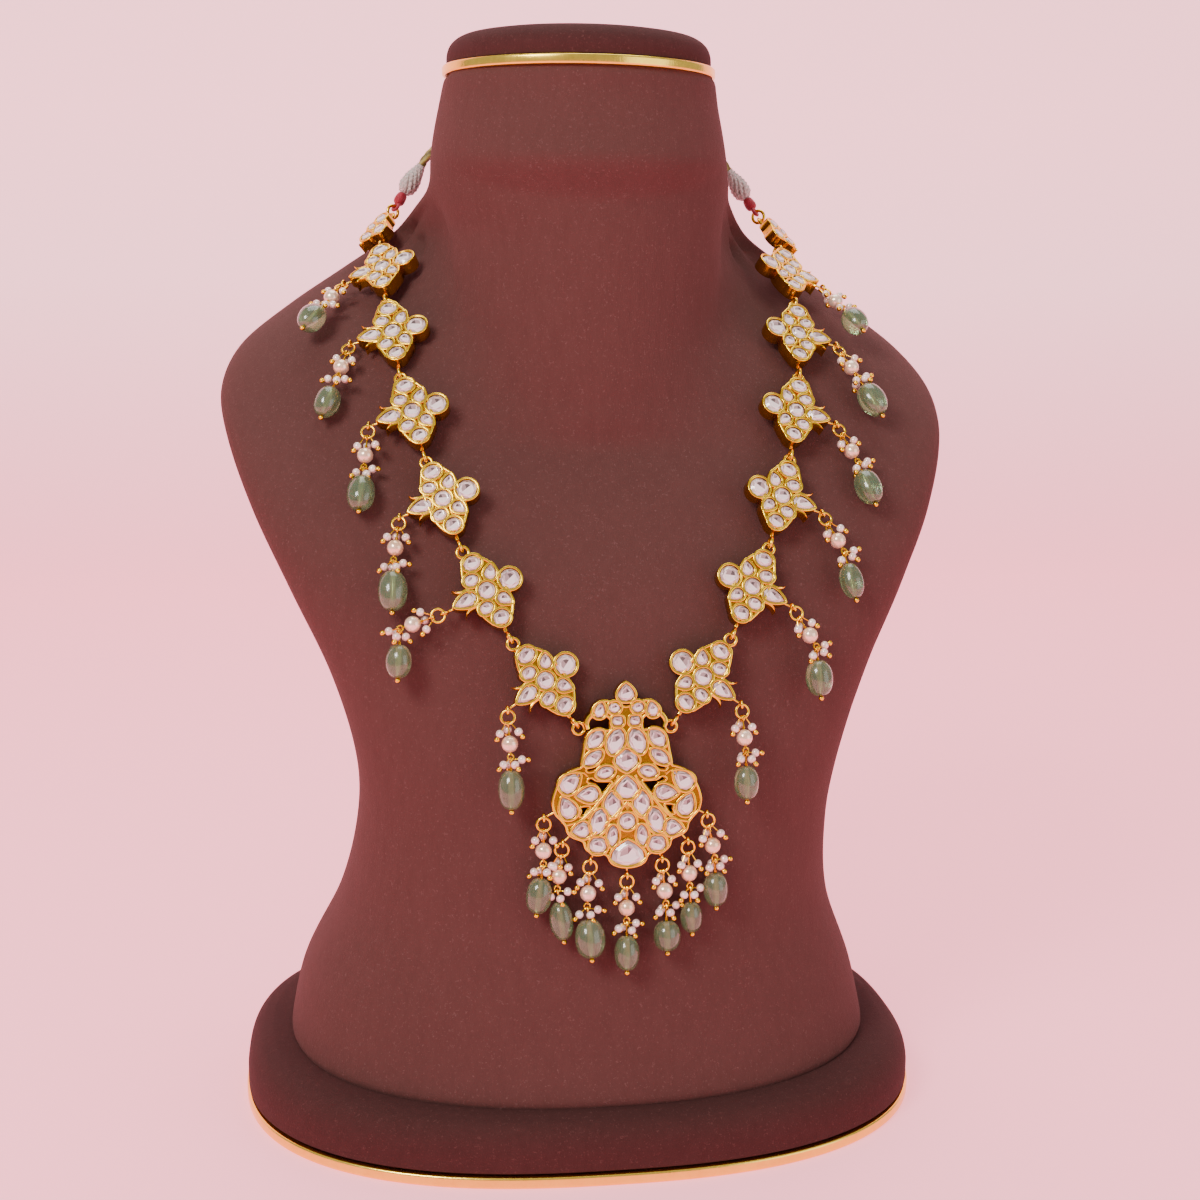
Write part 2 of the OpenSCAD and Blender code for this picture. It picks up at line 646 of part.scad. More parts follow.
// Gold ground between the pendant's stones, right half, from the bottom round to the crown
PENDANT_BODY = pendant_l * [
    [0, -0.485], [0.055, -0.473], [0.09, -0.448], [0.112, -0.42], [0.15, -0.408], [0.19, -0.405],
    [0.22, -0.385], [0.235, -0.345], [0.29, -0.32], [0.316, -0.297], [0.325, -0.262], [0.35, -0.228],
    [0.38, -0.195], [0.393, -0.15], [0.39, -0.11], [0.373, -0.062], [0.347, -0.015], [0.315, 0.015],
    [0.275, 0.032], [0.24, 0.045], [0.235, 0.08], [0.224, 0.135], [0.215, 0.19], [0.2, 0.218],
    [0.175, 0.237], [0.14, 0.242], [0.085, 0.24], [0.08, 0.3], [0.11, 0.33], [0.16, 0.34],
    [0.165, 0.37], [0.14, 0.39], [0.104, 0.393], [0.06, 0.38], [0, 0.36]
];
// Open gaps through the right half of the pendant
PENDANT_GAPS = pendant_l * [
    [[0.085, -0.036], [0.125, -0.034], [0.165, -0.03], [0.195, -0.012], [0.212, -0.028], [0.168, -0.044],
        [0.146, -0.07], [0.135, -0.098]],
    [[0.205, -0.164], [0.25, -0.167], [0.244, -0.188], [0.255, -0.212], [0.23, -0.205]],
    [[0.152, 0.06], [0.185, 0.044], [0.217, 0.036], [0.205, 0.024], [0.172, 0.032]]
];
cut_over = 1;
// Curved arm from the crown down to the pendant's loop
PENDANT_ARM = pendant_l * [
    [0.172, 0.34], [0.198, 0.326], [0.214, 0.3], [0.218, 0.272], [0.205, 0.25], [0.2, 0.25], [0.208, 0.274],
    [0.203, 0.298], [0.19, 0.315], [0.168, 0.325]
];

module pendant_setting() {
    color("#d9a441")
    on_side(1)
    multmatrix(PENDANT_FRAME) {
        difference() {
            plate(PENDANT_STONES, pendant_spans) {
                for (m = [0, 1]) mirror([m, 0]) {
                    polygon(PENDANT_BODY);
                    polygon(PENDANT_ARM);
                }
            }
            for (m = [0, 1]) mirror([m, 0])
                for (g = PENDANT_GAPS)
                    translate([0, 0, -cut_over])
                    linear_extrude(plate_t + 2 * cut_over)
                    polygon(g);
        }
        for (s = [-1, 1])
            translate([s * pendant_loop[0], pendant_loop[1], loop_z])
            wire_ring(loop_r, loop_wire);
        for (k = [0:len(PENDANT_EYES) - 1]) {
            at = [PENDANT_EYES[k][0], PENDANT_EYES[k][1], pendant_eye_z];
            drop_eye_ring(at, 90);
            inward = [at[0] * eye_root_share, at[1] * eye_root_share, pendant_eye_z];
            wire_bar([at[0], at[1] + eye_r, pendant_eye_z], inward, eye_wire - stem_less);
        }
    }
}

module pendant_stones() {
    color("#f1ecf2")
    on_side(1)
    multmatrix(PENDANT_FRAME)
    for (s = PENDANT_STONES) cut_stone(s);
}

module drop_rings(side) {
    color("#d9a441")
    for (p = drops_of(side))
        aimed(p[1], flat_on(p[8], p[9]), p[9]) wire_ring(ring_r, ring_wire);
}

// Loops and stem of a pin lie in its own frame, with z down the pin and x facing out
module pin_loop(z, face_on) {
    translate([0, 0, z])
    rotate(face_on ? [0, 90, 0] : [90, 0, 0])
    wire_ring(pin_loop_r, pin_wire);
}
// A pin's straight stem is a little thinner than its loops, which are formed of the same wire
stem_share = 0.9;
module pin_stem(length) {
    cylinder(d = pin_wire * stem_share, h = length, $fn = 16);
}

module pearl_pins(side) {
    color("#c98f2f")
    for (p = drops_of(side)) {
        length = norm(p[4] - p[2]);
        aimed(p[2], p[10], p[8]) {
            pin_loop(0, false);
            pin_loop(length, true);
            translate([0, 0, pin_loop_r]) pin_stem(length - 2 * pin_loop_r);
        }
    }
}

module bead_pins(side) {
    color("#c98f2f")
    for (p = drops_of(side)) {
        length = norm(p[7] - p[5]);
        aimed(p[5], p[11], p[8]) {
            pin_loop(0, false);
            translate([0, 0, pin_loop_r]) pin_stem(length - pin_loop_r);
            translate([0, 0, length]) sphere(d = tip_d, $fn = 16);
        }
    }
}

module pearls(side) {
    color("#f2e8da")
    for (p = drops_of(side))
        aimed(p[3], p[10], p[8])
        difference() {
            sphere(d = pearl_d, $fn = 24);
            translate([0, 0, -pearl_d])
            cylinder(d = pin_wire + 2 * pin_gap, h = 2 * pearl_d, $fn = 16);
        }
}

// Half profile of a tumbled bead from its lower hole to its upper one
bead_steps = 8;
bead_flat = 70;
bead_fullness = 0.8;
bead_shoulder = 0.97;
function bead_profile(w, l) = let (hole = pin_wire / 2 + pin_gap) concat(
    [[hole, -l / 2]],
    [for (k = [0:bead_steps]) let (t = -bead_flat + 2 * bead_flat * k / bead_steps)
        [w / 2 * pow(cos(t), bead_fullness), bead_shoulder * l / 2 * sin(t) / sin(bead_flat)]],
    [[hole, l / 2]]
);

module bead(side, i) {
    p = drops_of(side)[i - 1];
    row = drop_rows(side)[i - 1];
    color("#8fb09a")
    aimed(p[6], p[11], p[8])
    rotate_extrude($fn = 24)
    polygon(bead_profile(row[2] * bead_w, row[3] * bead_l));
}

// Cord of the necklace. Its gold ring links the end piece to a silk loop, then come the silk
// wrapping, the bundle of metal threads and the cord round the back of the neck.
cord_ring_r = 2.4;
cord_ring_wire = 1.2;
silk_loop_r = 1.5;
silk_loop_wire = 1.2;
// Places of one half chosen by hand. Columns: distance from the necklace's middle, y, height
WRAP_AIM = [67.5, 66, 327.5];
BUNDLE_AIM = [60, 68, 339];
CORD_ROUTE = [
    [55, 68.6, 345], [49.5, 69.4, 348.5], [43, 70, 351.5], [35.5, 70.4, 353.5],
    [27, 70.6, 355], [18, 70.6, 356], [9, 70.6, 356.5]
];
CORD_MIDDLE = [0, 70.6, 356.5];
end_loop = carry(LINK_FRAMES[link_count], [0, loop_at(end_top), loop_z]);
wrap_way = unit(WRAP_AIM - end_loop);
cord_play = 0.3;
ring_step = loop_r + cord_ring_r - (loop_wire + cord_ring_wire) / 2 - cord_play;
silk_step = cord_ring_r + silk_loop_r - (cord_ring_wire + silk_loop_wire) / 2 - cord_play;
ring_at = end_loop + ring_step * wrap_way;
silk_loop_at = ring_at + silk_step * wrap_way;
wrap_start = silk_loop_at + silk_loop_r * wrap_way;
wrap_end = wrap_start + wrap_l * wrap_way;
bundle_way = unit(BUNDLE_AIM - wrap_end);
bundle_end = wrap_end + bundle_l * bundle_way;
cord_seam = 0.1;
end_face = facing(LINK_FACING[link_count][0], LINK_FACING[link_count][1]);

module cord_rings() {
    color("#e0b04a")
    for (side = [-1, 1])
        on_side(side)
        aimed(ring_at, wrap_way, end_face)
        rotate([90, 0, 0]) wire_ring(cord_ring_r, cord_ring_wire);
}

// Half profiles of the silk wrapping and of the thread bundle. Columns: radius and length
// as shares of the diameter and of the length
WRAP_EDGE = [
    [0, 0], [0.28, 0], [0.46, 0.16], [0.5, 0.45], [0.44, 0.85], [0.3, 0.98], [0, 1]
];
BUNDLE_EDGE = [
    [0, 0.06], [0.2, 0.06], [0.4, 0.12], [0.5, 0.3], [0.46, 0.55], [0.34, 0.8], [0.24, 1], [0, 1]
];

module silk_wraps() {
    color("#a3233b")
    for (side = [-1, 1])
        on_side(side) {
            aimed(silk_loop_at, wrap_way, end_face)
            rotate([0, 90, 0]) wire_ring(silk_loop_r, silk_loop_wire);
            aimed(wrap_start, wrap_way, end_face)
            rotate_extrude($fn = 24)
            polygon([for (p = WRAP_EDGE) [p[0] * wrap_d, p[1] * wrap_l]]);
        }
}

module thread_bundles() {
    color("#e6e2da")
    for (side = [-1, 1])
        on_side(side)
        aimed(wrap_end, bundle_way, end_face)
        rotate_extrude($fn = 24)
        polygon([for (p = BUNDLE_EDGE) [p[0] * bundle_d, p[1] * bundle_l]]);
}

// Round tube through points, as a closed solid with a ring at each point
module tube(points, d, sides) {
    last = len(points) - 1;
    rings = [for (i = [0:last]) let (
            way = unit(points[min(i + 1, last)] - points[max(i - 1, 0)]),
            x = flat_on([0, 1, 0], way),
            y = cross(way, x)
        )
        [for (k = [0:sides - 1]) let (t = 360 * k / sides)
            points[i] + d / 2 * (cos(t) * x + sin(t) * y)]];
    lofted(rings);
}

cord_sides = 8;

module neck_cord() {
    half = concat([bundle_end + cord_seam * bundle_way, bundle_end + cord_d * bundle_way], CORD_ROUTE);
    color("#8d8b45")
    tube(concat(
        [for (p = half) to_world(-1, p)],
        [to_world(1, CORD_MIDDLE)],
        [for (i = [len(half) - 1:-1:0]) to_world(1, half[i])]
    ), cord_d, cord_sides);
}

bust_base();
base_trim();
bust_body();
neck_band();
neck_cap();
pendant_setting();
pendant_stones();
for (i = [1:6]) link(-1, i);
for (i = [1:6]) link(1, i);
end_piece(-1);  // end_piece_left
end_piece(1);  // end_piece_right
stones(-1);  // stones_left
stones(1);  // stones_right
drop_rings(-1);  // drop_rings_left
drop_rings(1);  // drop_rings_right
drop_rings(0);  // drop_rings_pendant
pearls(-1);  // pearls_left
pearls(1);  // pearls_right
pearls(0);  // pearls_pendant
pearl_pins(-1);  // pearl_pins_left
pearl_pins(1);  // pearl_pins_right
pearl_pins(0);  // pearl_pins_pendant
bead_pins(-1);  // bead_pins_left
bead_pins(1);  // bead_pins_right
bead_pins(0);  // bead_pins_pendant
for (i = [1:6]) bead(-1, i);
for (i = [1:6]) bead(1, i);
for (i = [1:7]) bead(0, i);
cord_rings();
silk_wraps();
thread_bundles();
neck_cord();
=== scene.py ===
"""Dressed model of a kundan necklace on its velvet neck bust.

The classes hold lengths in millimetres and the meshes are written in metres. X is the viewer's
right, -Y is the front and Z is up. The solids that each piece stands for set its size and place.
"""

import logging
import math
from dataclasses import dataclass, field
from enum import Enum
from typing import Iterable, Optional, Sequence

import bpy
import numpy as np
from mathutils import Matrix


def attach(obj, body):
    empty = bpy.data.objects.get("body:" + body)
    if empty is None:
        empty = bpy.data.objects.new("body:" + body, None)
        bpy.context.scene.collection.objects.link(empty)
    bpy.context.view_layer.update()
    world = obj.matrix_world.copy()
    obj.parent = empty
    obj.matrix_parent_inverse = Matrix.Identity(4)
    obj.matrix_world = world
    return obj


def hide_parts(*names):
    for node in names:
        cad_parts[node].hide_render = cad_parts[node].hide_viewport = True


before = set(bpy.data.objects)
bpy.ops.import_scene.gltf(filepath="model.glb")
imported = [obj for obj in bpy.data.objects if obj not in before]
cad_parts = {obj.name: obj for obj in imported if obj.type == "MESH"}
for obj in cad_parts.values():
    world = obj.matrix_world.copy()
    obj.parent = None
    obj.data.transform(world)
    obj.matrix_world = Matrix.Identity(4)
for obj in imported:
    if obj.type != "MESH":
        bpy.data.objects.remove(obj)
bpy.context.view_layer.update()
LOG = logging.getLogger("necklace")
MM = 0.001
RIGHT, BACK, UP = np.eye(3)
Array = np.ndarray
Random = np.random.Generator
Colour = tuple[float, float, float]
Material = bpy.types.Material
Socket = bpy.types.NodeSocket
Tree = bpy.types.NodeTree


# Plain vector maths, on single vectors or on rows of them


def unit(v: Array) -> Array:
    """Return v at length one, row by row."""
    v = np.asarray(v, float)
    return v / np.linalg.norm(v, axis=-1, keepdims=True)


def flat_on(v: Array, n: Array) -> Array:
    """Return the direction of v with its part along the unit vector n taken out."""
    v = np.asarray(v, float)
    return unit(v - np.sum(v * n, axis=-1, keepdims=True) * n)


def facing(azimuth: float, elevation: float) -> Array:
    """Return the direction that faces azimuth degrees to the right of the front and up by elevation."""
    a, e = np.radians([azimuth, elevation])
    return np.array([np.sin(a) * np.cos(e), -np.cos(a) * np.cos(e), np.sin(e)])


def signed_power(v: Array, power: float) -> Array:
    """Return v raised to power with its sign kept."""
    return np.sign(v) * np.abs(v) ** power


def angles(count: int) -> Array:
    """Return count angles at equal steps round a circle, in radians."""
    return np.linspace(0, 2 * np.pi, count, endpoint=False)


def table(rows: Sequence, scale: float = 1.0) -> Array:
    """Return a dataclass field that starts as rows of numbers times a scale."""
    return field(default_factory=lambda: scale * np.array(rows, float))


def evened(points: Array, count: int, closed: bool = True) -> Array:
    """Return count points at equal steps along a line.

    The length along the line is the running sum of the distances between its points, and each
    new point is read off at an equal share of it.

    Args:
        points: rows of 2 or 3 coordinates.
        count: how many points to return.
        closed: whether the line runs back to its first point.

    Returns:
        An array of count rows, the first of which is the first point.
    """
    walk = np.vstack([points, points[:1]]) if closed else np.asarray(points, float)
    length = np.concatenate([[0.0], np.cumsum(np.linalg.norm(np.diff(walk, axis=0), axis=1))])
    at = np.linspace(0.0, length[-1], count, endpoint=not closed)
    return np.column_stack([np.interp(at, length, walk[:, k]) for k in range(walk.shape[1])])


def curved(points: Array, steps: int, closed: bool = True) -> Array:
    """Return a smooth line through points, with steps points for each stretch.

    Each stretch is a Catmull-Rom cubic: it starts and ends at two neighbouring points, with
    slopes of half the difference between the points on either side.

    Args:
        points: rows of 2 or 3 coordinates.
        steps: points for each stretch.
        closed: whether the line runs back to its first point.

    Returns:
        The rows of the smooth line.
    """
    p = np.asarray(points, float)
    if closed:
        before, here, there, after = np.roll(p, 1, 0), p, np.roll(p, -1, 0), np.roll(p, -2, 0)
    else:
        wide = np.vstack([2 * p[0] - p[1], p, 2 * p[-1] - p[-2]])
        before, here, there, after = wide[:-3], wide[1:-2], wide[2:-1], wide[3:]
    t = (np.arange(steps) / steps)[None, :, None]
    a, b, c, d = (q[:, None, :] for q in (before, here, there, after))
    line = 0.5 * (2 * b + (c - a) * t + (2 * a - 5 * b + 4 * c - d) * t ** 2
                  + (3 * b - a - 3 * c + d) * t ** 3)
    line = line.reshape(-1, p.shape[1])
    return line if closed else np.vstack([line, p[-1:]])


def outward(ring: Array) -> Array:
    """Return the unit normals of a closed flat ring that runs counterclockwise."""
    way = unit(np.roll(ring, -1, 0) - np.roll(ring, 1, 0))
    return np.column_stack([way[:, 1], -way[:, 0]])


def arc(start: float, end: float, count: int) -> Array:
    """Return count angles from start to end degrees, in radians."""
    return np.radians(np.linspace(start, end, count))


@dataclass(frozen=True)
class Seat:
    """Three axes and an origin that carry a piece from its own axes into the model."""

    x: Array
    y: Array
    z: Array
    origin: Array

    def carry(self, points: Array) -> Array:
        """Return the points, given along the seat's axes, in the model's axes."""
        p = np.asarray(points, float)
        return self.origin + p[..., 0:1] * self.x + p[..., 1:2] * self.y + p[..., 2:3] * self.z

    def moved(self, x: float, y: float, z: float) -> "Seat":
        """Return the same axes at a point given along them."""
        return Seat(self.x, self.y, self.z, self.carry(np.array([x, y, z])))


def aimed(at: Array, down: Array, out: Array) -> Seat:
    """Return the seat at a point whose z runs along down and whose x faces as near out as it can."""
    x = flat_on(out, down)
    return Seat(x, np.cross(down, x), np.asarray(down, float), np.asarray(at, float))


@dataclass
class Shape:
    """A mesh before it becomes an object.

    Attributes:
        points: rows of x, y, z in millimetres.
        quads: rows of four point numbers, counterclockwise from outside.
        tris: rows of three point numbers.
        quad_tags: a row for each quad with its finish number, its tone and 1 where it is smooth.
        tri_tags: the same for each triangle.
    """

    points: Array
    quads: Array
    tris: Array
    quad_tags: Array
    tri_tags: Array

    def on(self, seat: Seat) -> "Shape":
        """Return the shape carried by a seat."""
        return Shape(seat.carry(self.points), self.quads, self.tris, self.quad_tags, self.tri_tags)

    def sided(self, side: int, middle: float) -> "Shape":
        """Return the shape beside the line x = middle, mirrored for side -1 with its faces turned.

        Args:
            side: 1, or -1 for the mirrored shape.
            middle: the line's x.

        Returns:
            The shape on its side.
        """
        points = self.points * [side, 1, 1] + [middle, 0, 0]
        if side > 0:
            return Shape(points, self.quads, self.tris, self.quad_tags, self.tri_tags)
        return Shape(points, self.quads[:, ::-1], self.tris[:, ::-1], self.quad_tags, self.tri_tags)

    def copied(self, seats: Sequence[Seat]) -> "Shape":
        """Return one shape with a copy on each seat, worked out as one array.

        Args:
            seats: where the copies go.

        Returns:
            The copies.
        """
        axes = np.array([[s.x, s.y, s.z] for s in seats])
        origins = np.array([s.origin for s in seats])
        points = (self.points @ axes + origins[:, None, :]).reshape(-1, 3)
        shift = (np.arange(len(seats)) * len(self.points))[:, None, None]
        return Shape(
            points,
            (self.quads[None] + shift).reshape(-1, 4),
            (self.tris[None] + shift).reshape(-1, 3),
            np.tile(self.quad_tags, (len(seats), 1)),
            np.tile(self.tri_tags, (len(seats), 1)),
        )

    def tagged(self, finish: Optional[int] = None, tone: Optional[float] = None) -> "Shape":
        """Return the shape with every face given a finish number or a tone.

        Args:
            finish: number of the material, None to keep it.
            tone: from 0 to 1, None to keep it.

        Returns:
            The shape with its new tags.
        """
        quad_tags, tri_tags = self.quad_tags.copy(), self.tri_tags.copy()
        for column, value in ((0, finish), (1, tone)):
            if value is not None:
                quad_tags[:, column] = value
                tri_tags[:, column] = value
        return Shape(self.points, self.quads, self.tris, quad_tags, tri_tags)


def joined(shapes: Iterable[Shape]) -> Shape:
    """Return one shape that holds all the given ones.

    Args:
        shapes: the parts in their order.

    Returns:
        The whole.
    """
    shapes = list(shapes)
    starts = np.concatenate([[0], np.cumsum([len(s.points) for s in shapes])[:-1]]).astype(int)
    return Shape(
        np.vstack([s.points for s in shapes]),
        np.vstack([s.quads + k for s, k in zip(shapes, starts)]),
        np.vstack([s.tris + k for s, k in zip(shapes, starts)]),
        np.vstack([s.quad_tags for s in shapes]),
        np.vstack([s.tri_tags for s in shapes]),
    )


def tags(count: int, tone: float = 0.5, smooth: bool = True) -> Array:
    """Return tag rows for count faces of finish 0."""
    return np.tile([0.0, tone, float(smooth)], (count, 1))


def grid_quads(rows: int, cols: int, wrap_rows: bool = False) -> Array:
    """Return the quads of a grid of points whose columns close into rings.

    Columns run counterclockwise seen from the end of the rows, so the faces point outwards.

    Args:
        rows: number of rings.
        cols: points in each ring.
        wrap_rows: whether the last ring joins the first.

    Returns:
        Rows of four point numbers.
    """
    index = np.arange(rows * cols).reshape(rows, cols)
    low = index if wrap_rows else index[:-1]
    high = np.roll(index, -1, 0) if wrap_rows else index[1:]
    quads = np.stack([low, np.roll(low, -1, 1), np.roll(high, -1, 1), high], -1)
    return quads.reshape(-1, 4)


def lofted(rings: Array, tones: Optional[Array] = None, tips: Optional[Array] = None) -> Shape:
    """Return the closed surface through a stack of rings.

    The point at row i and column k is rings[i, k]. Each end is closed by a fan to its middle
    point, or to the given tips.

    Args:
        rings: rows, columns, 3 coordinates, lowest ring first, counterclockwise from above.
        tones: one tone for each stretch between two rings.
        tips: the middle points of the bottom and of the top fan.

    Returns:
        The closed shape.
    """
    rows, cols = rings.shape[:2]
    tips = np.array([rings[0].mean(0), rings[-1].mean(0)]) if tips is None else tips
    points = np.vstack([rings.reshape(-1, 3), tips])
    quads = grid_quads(rows, cols)
    ring = np.arange(cols)
    after = np.roll(ring, -1)
    last = (rows - 1) * cols
    bottom = np.column_stack([np.full(cols, rows * cols), after, ring])
    top = np.column_stack([np.full(cols, rows * cols + 1), last + ring, last + after])
    quad_tags = tags(len(quads))
    tri_tags = tags(2 * cols)
    if tones is not None:
        quad_tags[:, 1] = np.repeat(tones, cols)
        tri_tags[:, 1] = np.repeat([tones[0], tones[-1]], cols)
    return Shape(points, quads, np.vstack([bottom, top]), quad_tags, tri_tags)


def turned(profile: Array, sides: int) -> Shape:
    """Return the surface that a half profile makes when it turns about the z axis.

    The point at row i and column k is (r cos t, r sin t, z) for profile row (r, z) and angle t.

    Args:
        profile: rows of radius and height, from the bottom up, away from the axis.
        sides: how many columns go round.

    Returns:
        The shape, closed at both ends on the axis.
    """
    t = angles(sides)
    r, z = np.asarray(profile, float).T
    rings = np.stack([r[:, None] * np.cos(t), r[:, None] * np.sin(t), np.repeat(z[:, None], sides, 1)], -1)
    tips = np.array([[0, 0, z[0]], [0, 0, z[-1]]])
    return lofted(rings, tips=tips)


def ball(diameter: float, sides: int = 16, rows: int = 8) -> Shape:
    """Return a ball as rings of latitude between two poles.

    Args:
        diameter: through the poles.
        sides: points round the axis.
        rows: steps from pole to pole.

    Returns:
        The closed shape.
    """
    t = arc(-90, 90, rows + 1)[1:-1]
    shape = turned(diameter / 2 * np.column_stack([np.cos(t), np.sin(t)]), sides)
    shape.points[-2:, 2] = [-diameter / 2, diameter / 2]
    return shape


def wire_ring(radius: float, wire: float, around: int = 28, sides: int = 10) -> Shape:
    """Return a ring of round wire in the xy plane.

    The point at angles u round the ring and v round the wire is
    ((R + r cos v) cos u, (R + r cos v) sin u, r sin v).

    Args:
        radius: of the wire's centreline.
        wire: the wire's thickness.
        around: points round the ring.
        sides: points round the wire.

    Returns:
        The closed shape.
    """
    u = angles(around)[None, :]
    v = angles(sides)[:, None]
    reach = radius + wire / 2 * np.cos(v)
    points = np.stack([reach * np.cos(u), reach * np.sin(u), wire / 2 * np.sin(v) + 0 * u], -1).reshape(-1, 3)
    quads = grid_quads(sides, around, wrap_rows=True)
    return Shape(points, quads, np.zeros((0, 3), int), tags(len(quads), 0.8), tags(0))


def tube(path: Array, radius: Array, sides: int = 8, up: Optional[Array] = None) -> Shape:
    """Return a round tube along a path.

    Each ring lies across the path's own direction, turned so that its first point is as near
    the direction up as it can be.

    Args:
        path: rows of the centreline.
        radius: one radius, or one for each row, or one for each row and side.
        sides: points round the tube.
        up: reference direction, which is never along the path.

    Returns:
        The closed shape.
    """
    way = unit(np.gradient(np.asarray(path, float), axis=0))
    x = flat_on(UP if up is None else up, way)
    y = np.cross(way, x)
    t = angles(sides)[None, :, None]
    r = np.broadcast_to(np.asarray(radius, float).reshape(len(path) if np.ndim(radius) else 1, -1),
                        (len(path), sides))[..., None]
    rings = path[:, None, :] + r * (np.cos(t) * x[:, None, :] + np.sin(t) * y[:, None, :])
    return lofted(rings)


def coil(radius: float, wire: float, turns: float, pitch: float, steps: int = 12) -> Shape:
    """Return a wire coil round the z axis, from z 0 upwards.

    Args:
        radius: of the centreline.
        wire: the wire's thickness.
        turns: how many turns.
        pitch: rise of a turn.
        steps: points in a turn.

    Returns:
        The closed shape.
    """
    t = np.linspace(0, 2 * np.pi * turns, int(steps * turns) + 1)
    path = np.column_stack([radius * np.cos(t), radius * np.sin(t), pitch * t / (2 * np.pi)])
    return tube(path, wire / 2, 6)


# Finishes: shader node groups that several materials share, then one small class for each finish


@dataclass
class Graph:
    """A node tree that is being built, with short ways to add and join nodes."""

    tree: Tree

    def add(self, kind: str, **values: object) -> bpy.types.Node:
        """Add a node of a kind and set its properties and its inputs.

        Args:
            kind: the node's type without the words ShaderNode or Node in front.
            values: properties in lower case, and inputs by name with spaces written as _.

        Returns:
            The new node.
        """
        prefix = "Node" if kind.startswith("Group") and kind != "Group" else "ShaderNode"
        node = self.tree.nodes.new(prefix + kind)
        for name, value in values.items():
            if name[0].islower():
                setattr(node, name, value)
            else:
                self.feed(node.inputs[name.replace("_", " ")], value)
        return node

    def feed(self, socket: Socket, value: object) -> None:
        """Link a value that is a socket and store one that is a number or a colour.

        Args:
            socket: the input to fill.
            value: an output socket, a number or a colour of three numbers.
        """
        if isinstance(value, Socket):
            self.tree.links.new(value, socket)
        elif socket.type == "RGBA" and len(value) == 3:
            socket.default_value = (*value, 1.0)
        else:
            socket.default_value = value

    def maths(self, operation: str, a: object, b: object = 0.5, clamp: bool = False) -> Socket:
        """Return the output of a maths node on two values.

        Args:
            operation: what the node does.
            a: first number or socket.
            b: second number or socket.
            clamp: whether the result is held from 0 to 1.

        Returns:
            The result's socket.
        """
        node = self.tree.nodes.new("ShaderNodeMath")
        node.operation = operation
        node.use_clamp = clamp
        self.feed(node.inputs[0], a)
        self.feed(node.inputs[1], b)
        return node.outputs[0]

    def mixed(self, share: object, a: object, b: object) -> Socket:
        """Return the colour between a and b at a share.

        Args:
            share: 0 for a, 1 for b.
            a: colour or socket.
            b: colour or socket.

        Returns:
            The colour's socket.
        """
        node = self.tree.nodes.new("ShaderNodeMix")
        node.data_type = "RGBA"
        self.feed(node.inputs[0], share)
        self.feed(node.inputs[6], a)
        self.feed(node.inputs[7], b)
        return node.outputs[2]

    def ranged(self, value: object, low: float, high: float, new_low: float, new_high: float) -> Socket:
        """Return value carried from one range to another and held inside it.

        Args:
            value: socket to read.
            low: start of its range.
            high: end of its range.
            new_low: what low becomes.
            new_high: what high becomes.

        Returns:
            The new value's socket.
        """
        node = self.tree.nodes.new("ShaderNodeMapRange")
        self.feed(node.inputs[0], value)
        for k, v in enumerate((low, high, new_low, new_high)):
            node.inputs[k + 1].default_value = v
        return node.outputs[0]


def new_group(name: str, inputs: dict[str, object], outputs: dict[str, str]) -> tuple[Graph, dict, dict]:
    """Start a shader node group.

    Args:
        name: the group's name.
        inputs: the socket names, with their starting values or "vector".
        outputs: the socket names, with "value" or "colour".

    Returns:
        The group's graph, its inputs as sockets to read and its outputs as sockets to fill.
    """
    tree = bpy.data.node_groups.new(name, "ShaderNodeTree")
    for label, value in inputs.items():
        kind = "NodeSocketVector" if value == "vector" else "NodeSocketFloat"
        socket = tree.interface.new_socket(label, in_out="INPUT", socket_type=kind)
        if kind == "NodeSocketFloat":
            socket.default_value = value
    for label, value in outputs.items():
        kind = "NodeSocketColor" if value == "colour" else "NodeSocketFloat"
        tree.interface.new_socket(label, in_out="OUTPUT", socket_type=kind)
    graph = Graph(tree)
    source, sink = graph.add("GroupInput"), graph.add("GroupOutput")
    return graph, {k: source.outputs[k] for k in inputs}, {k: sink.inputs[k] for k in outputs}


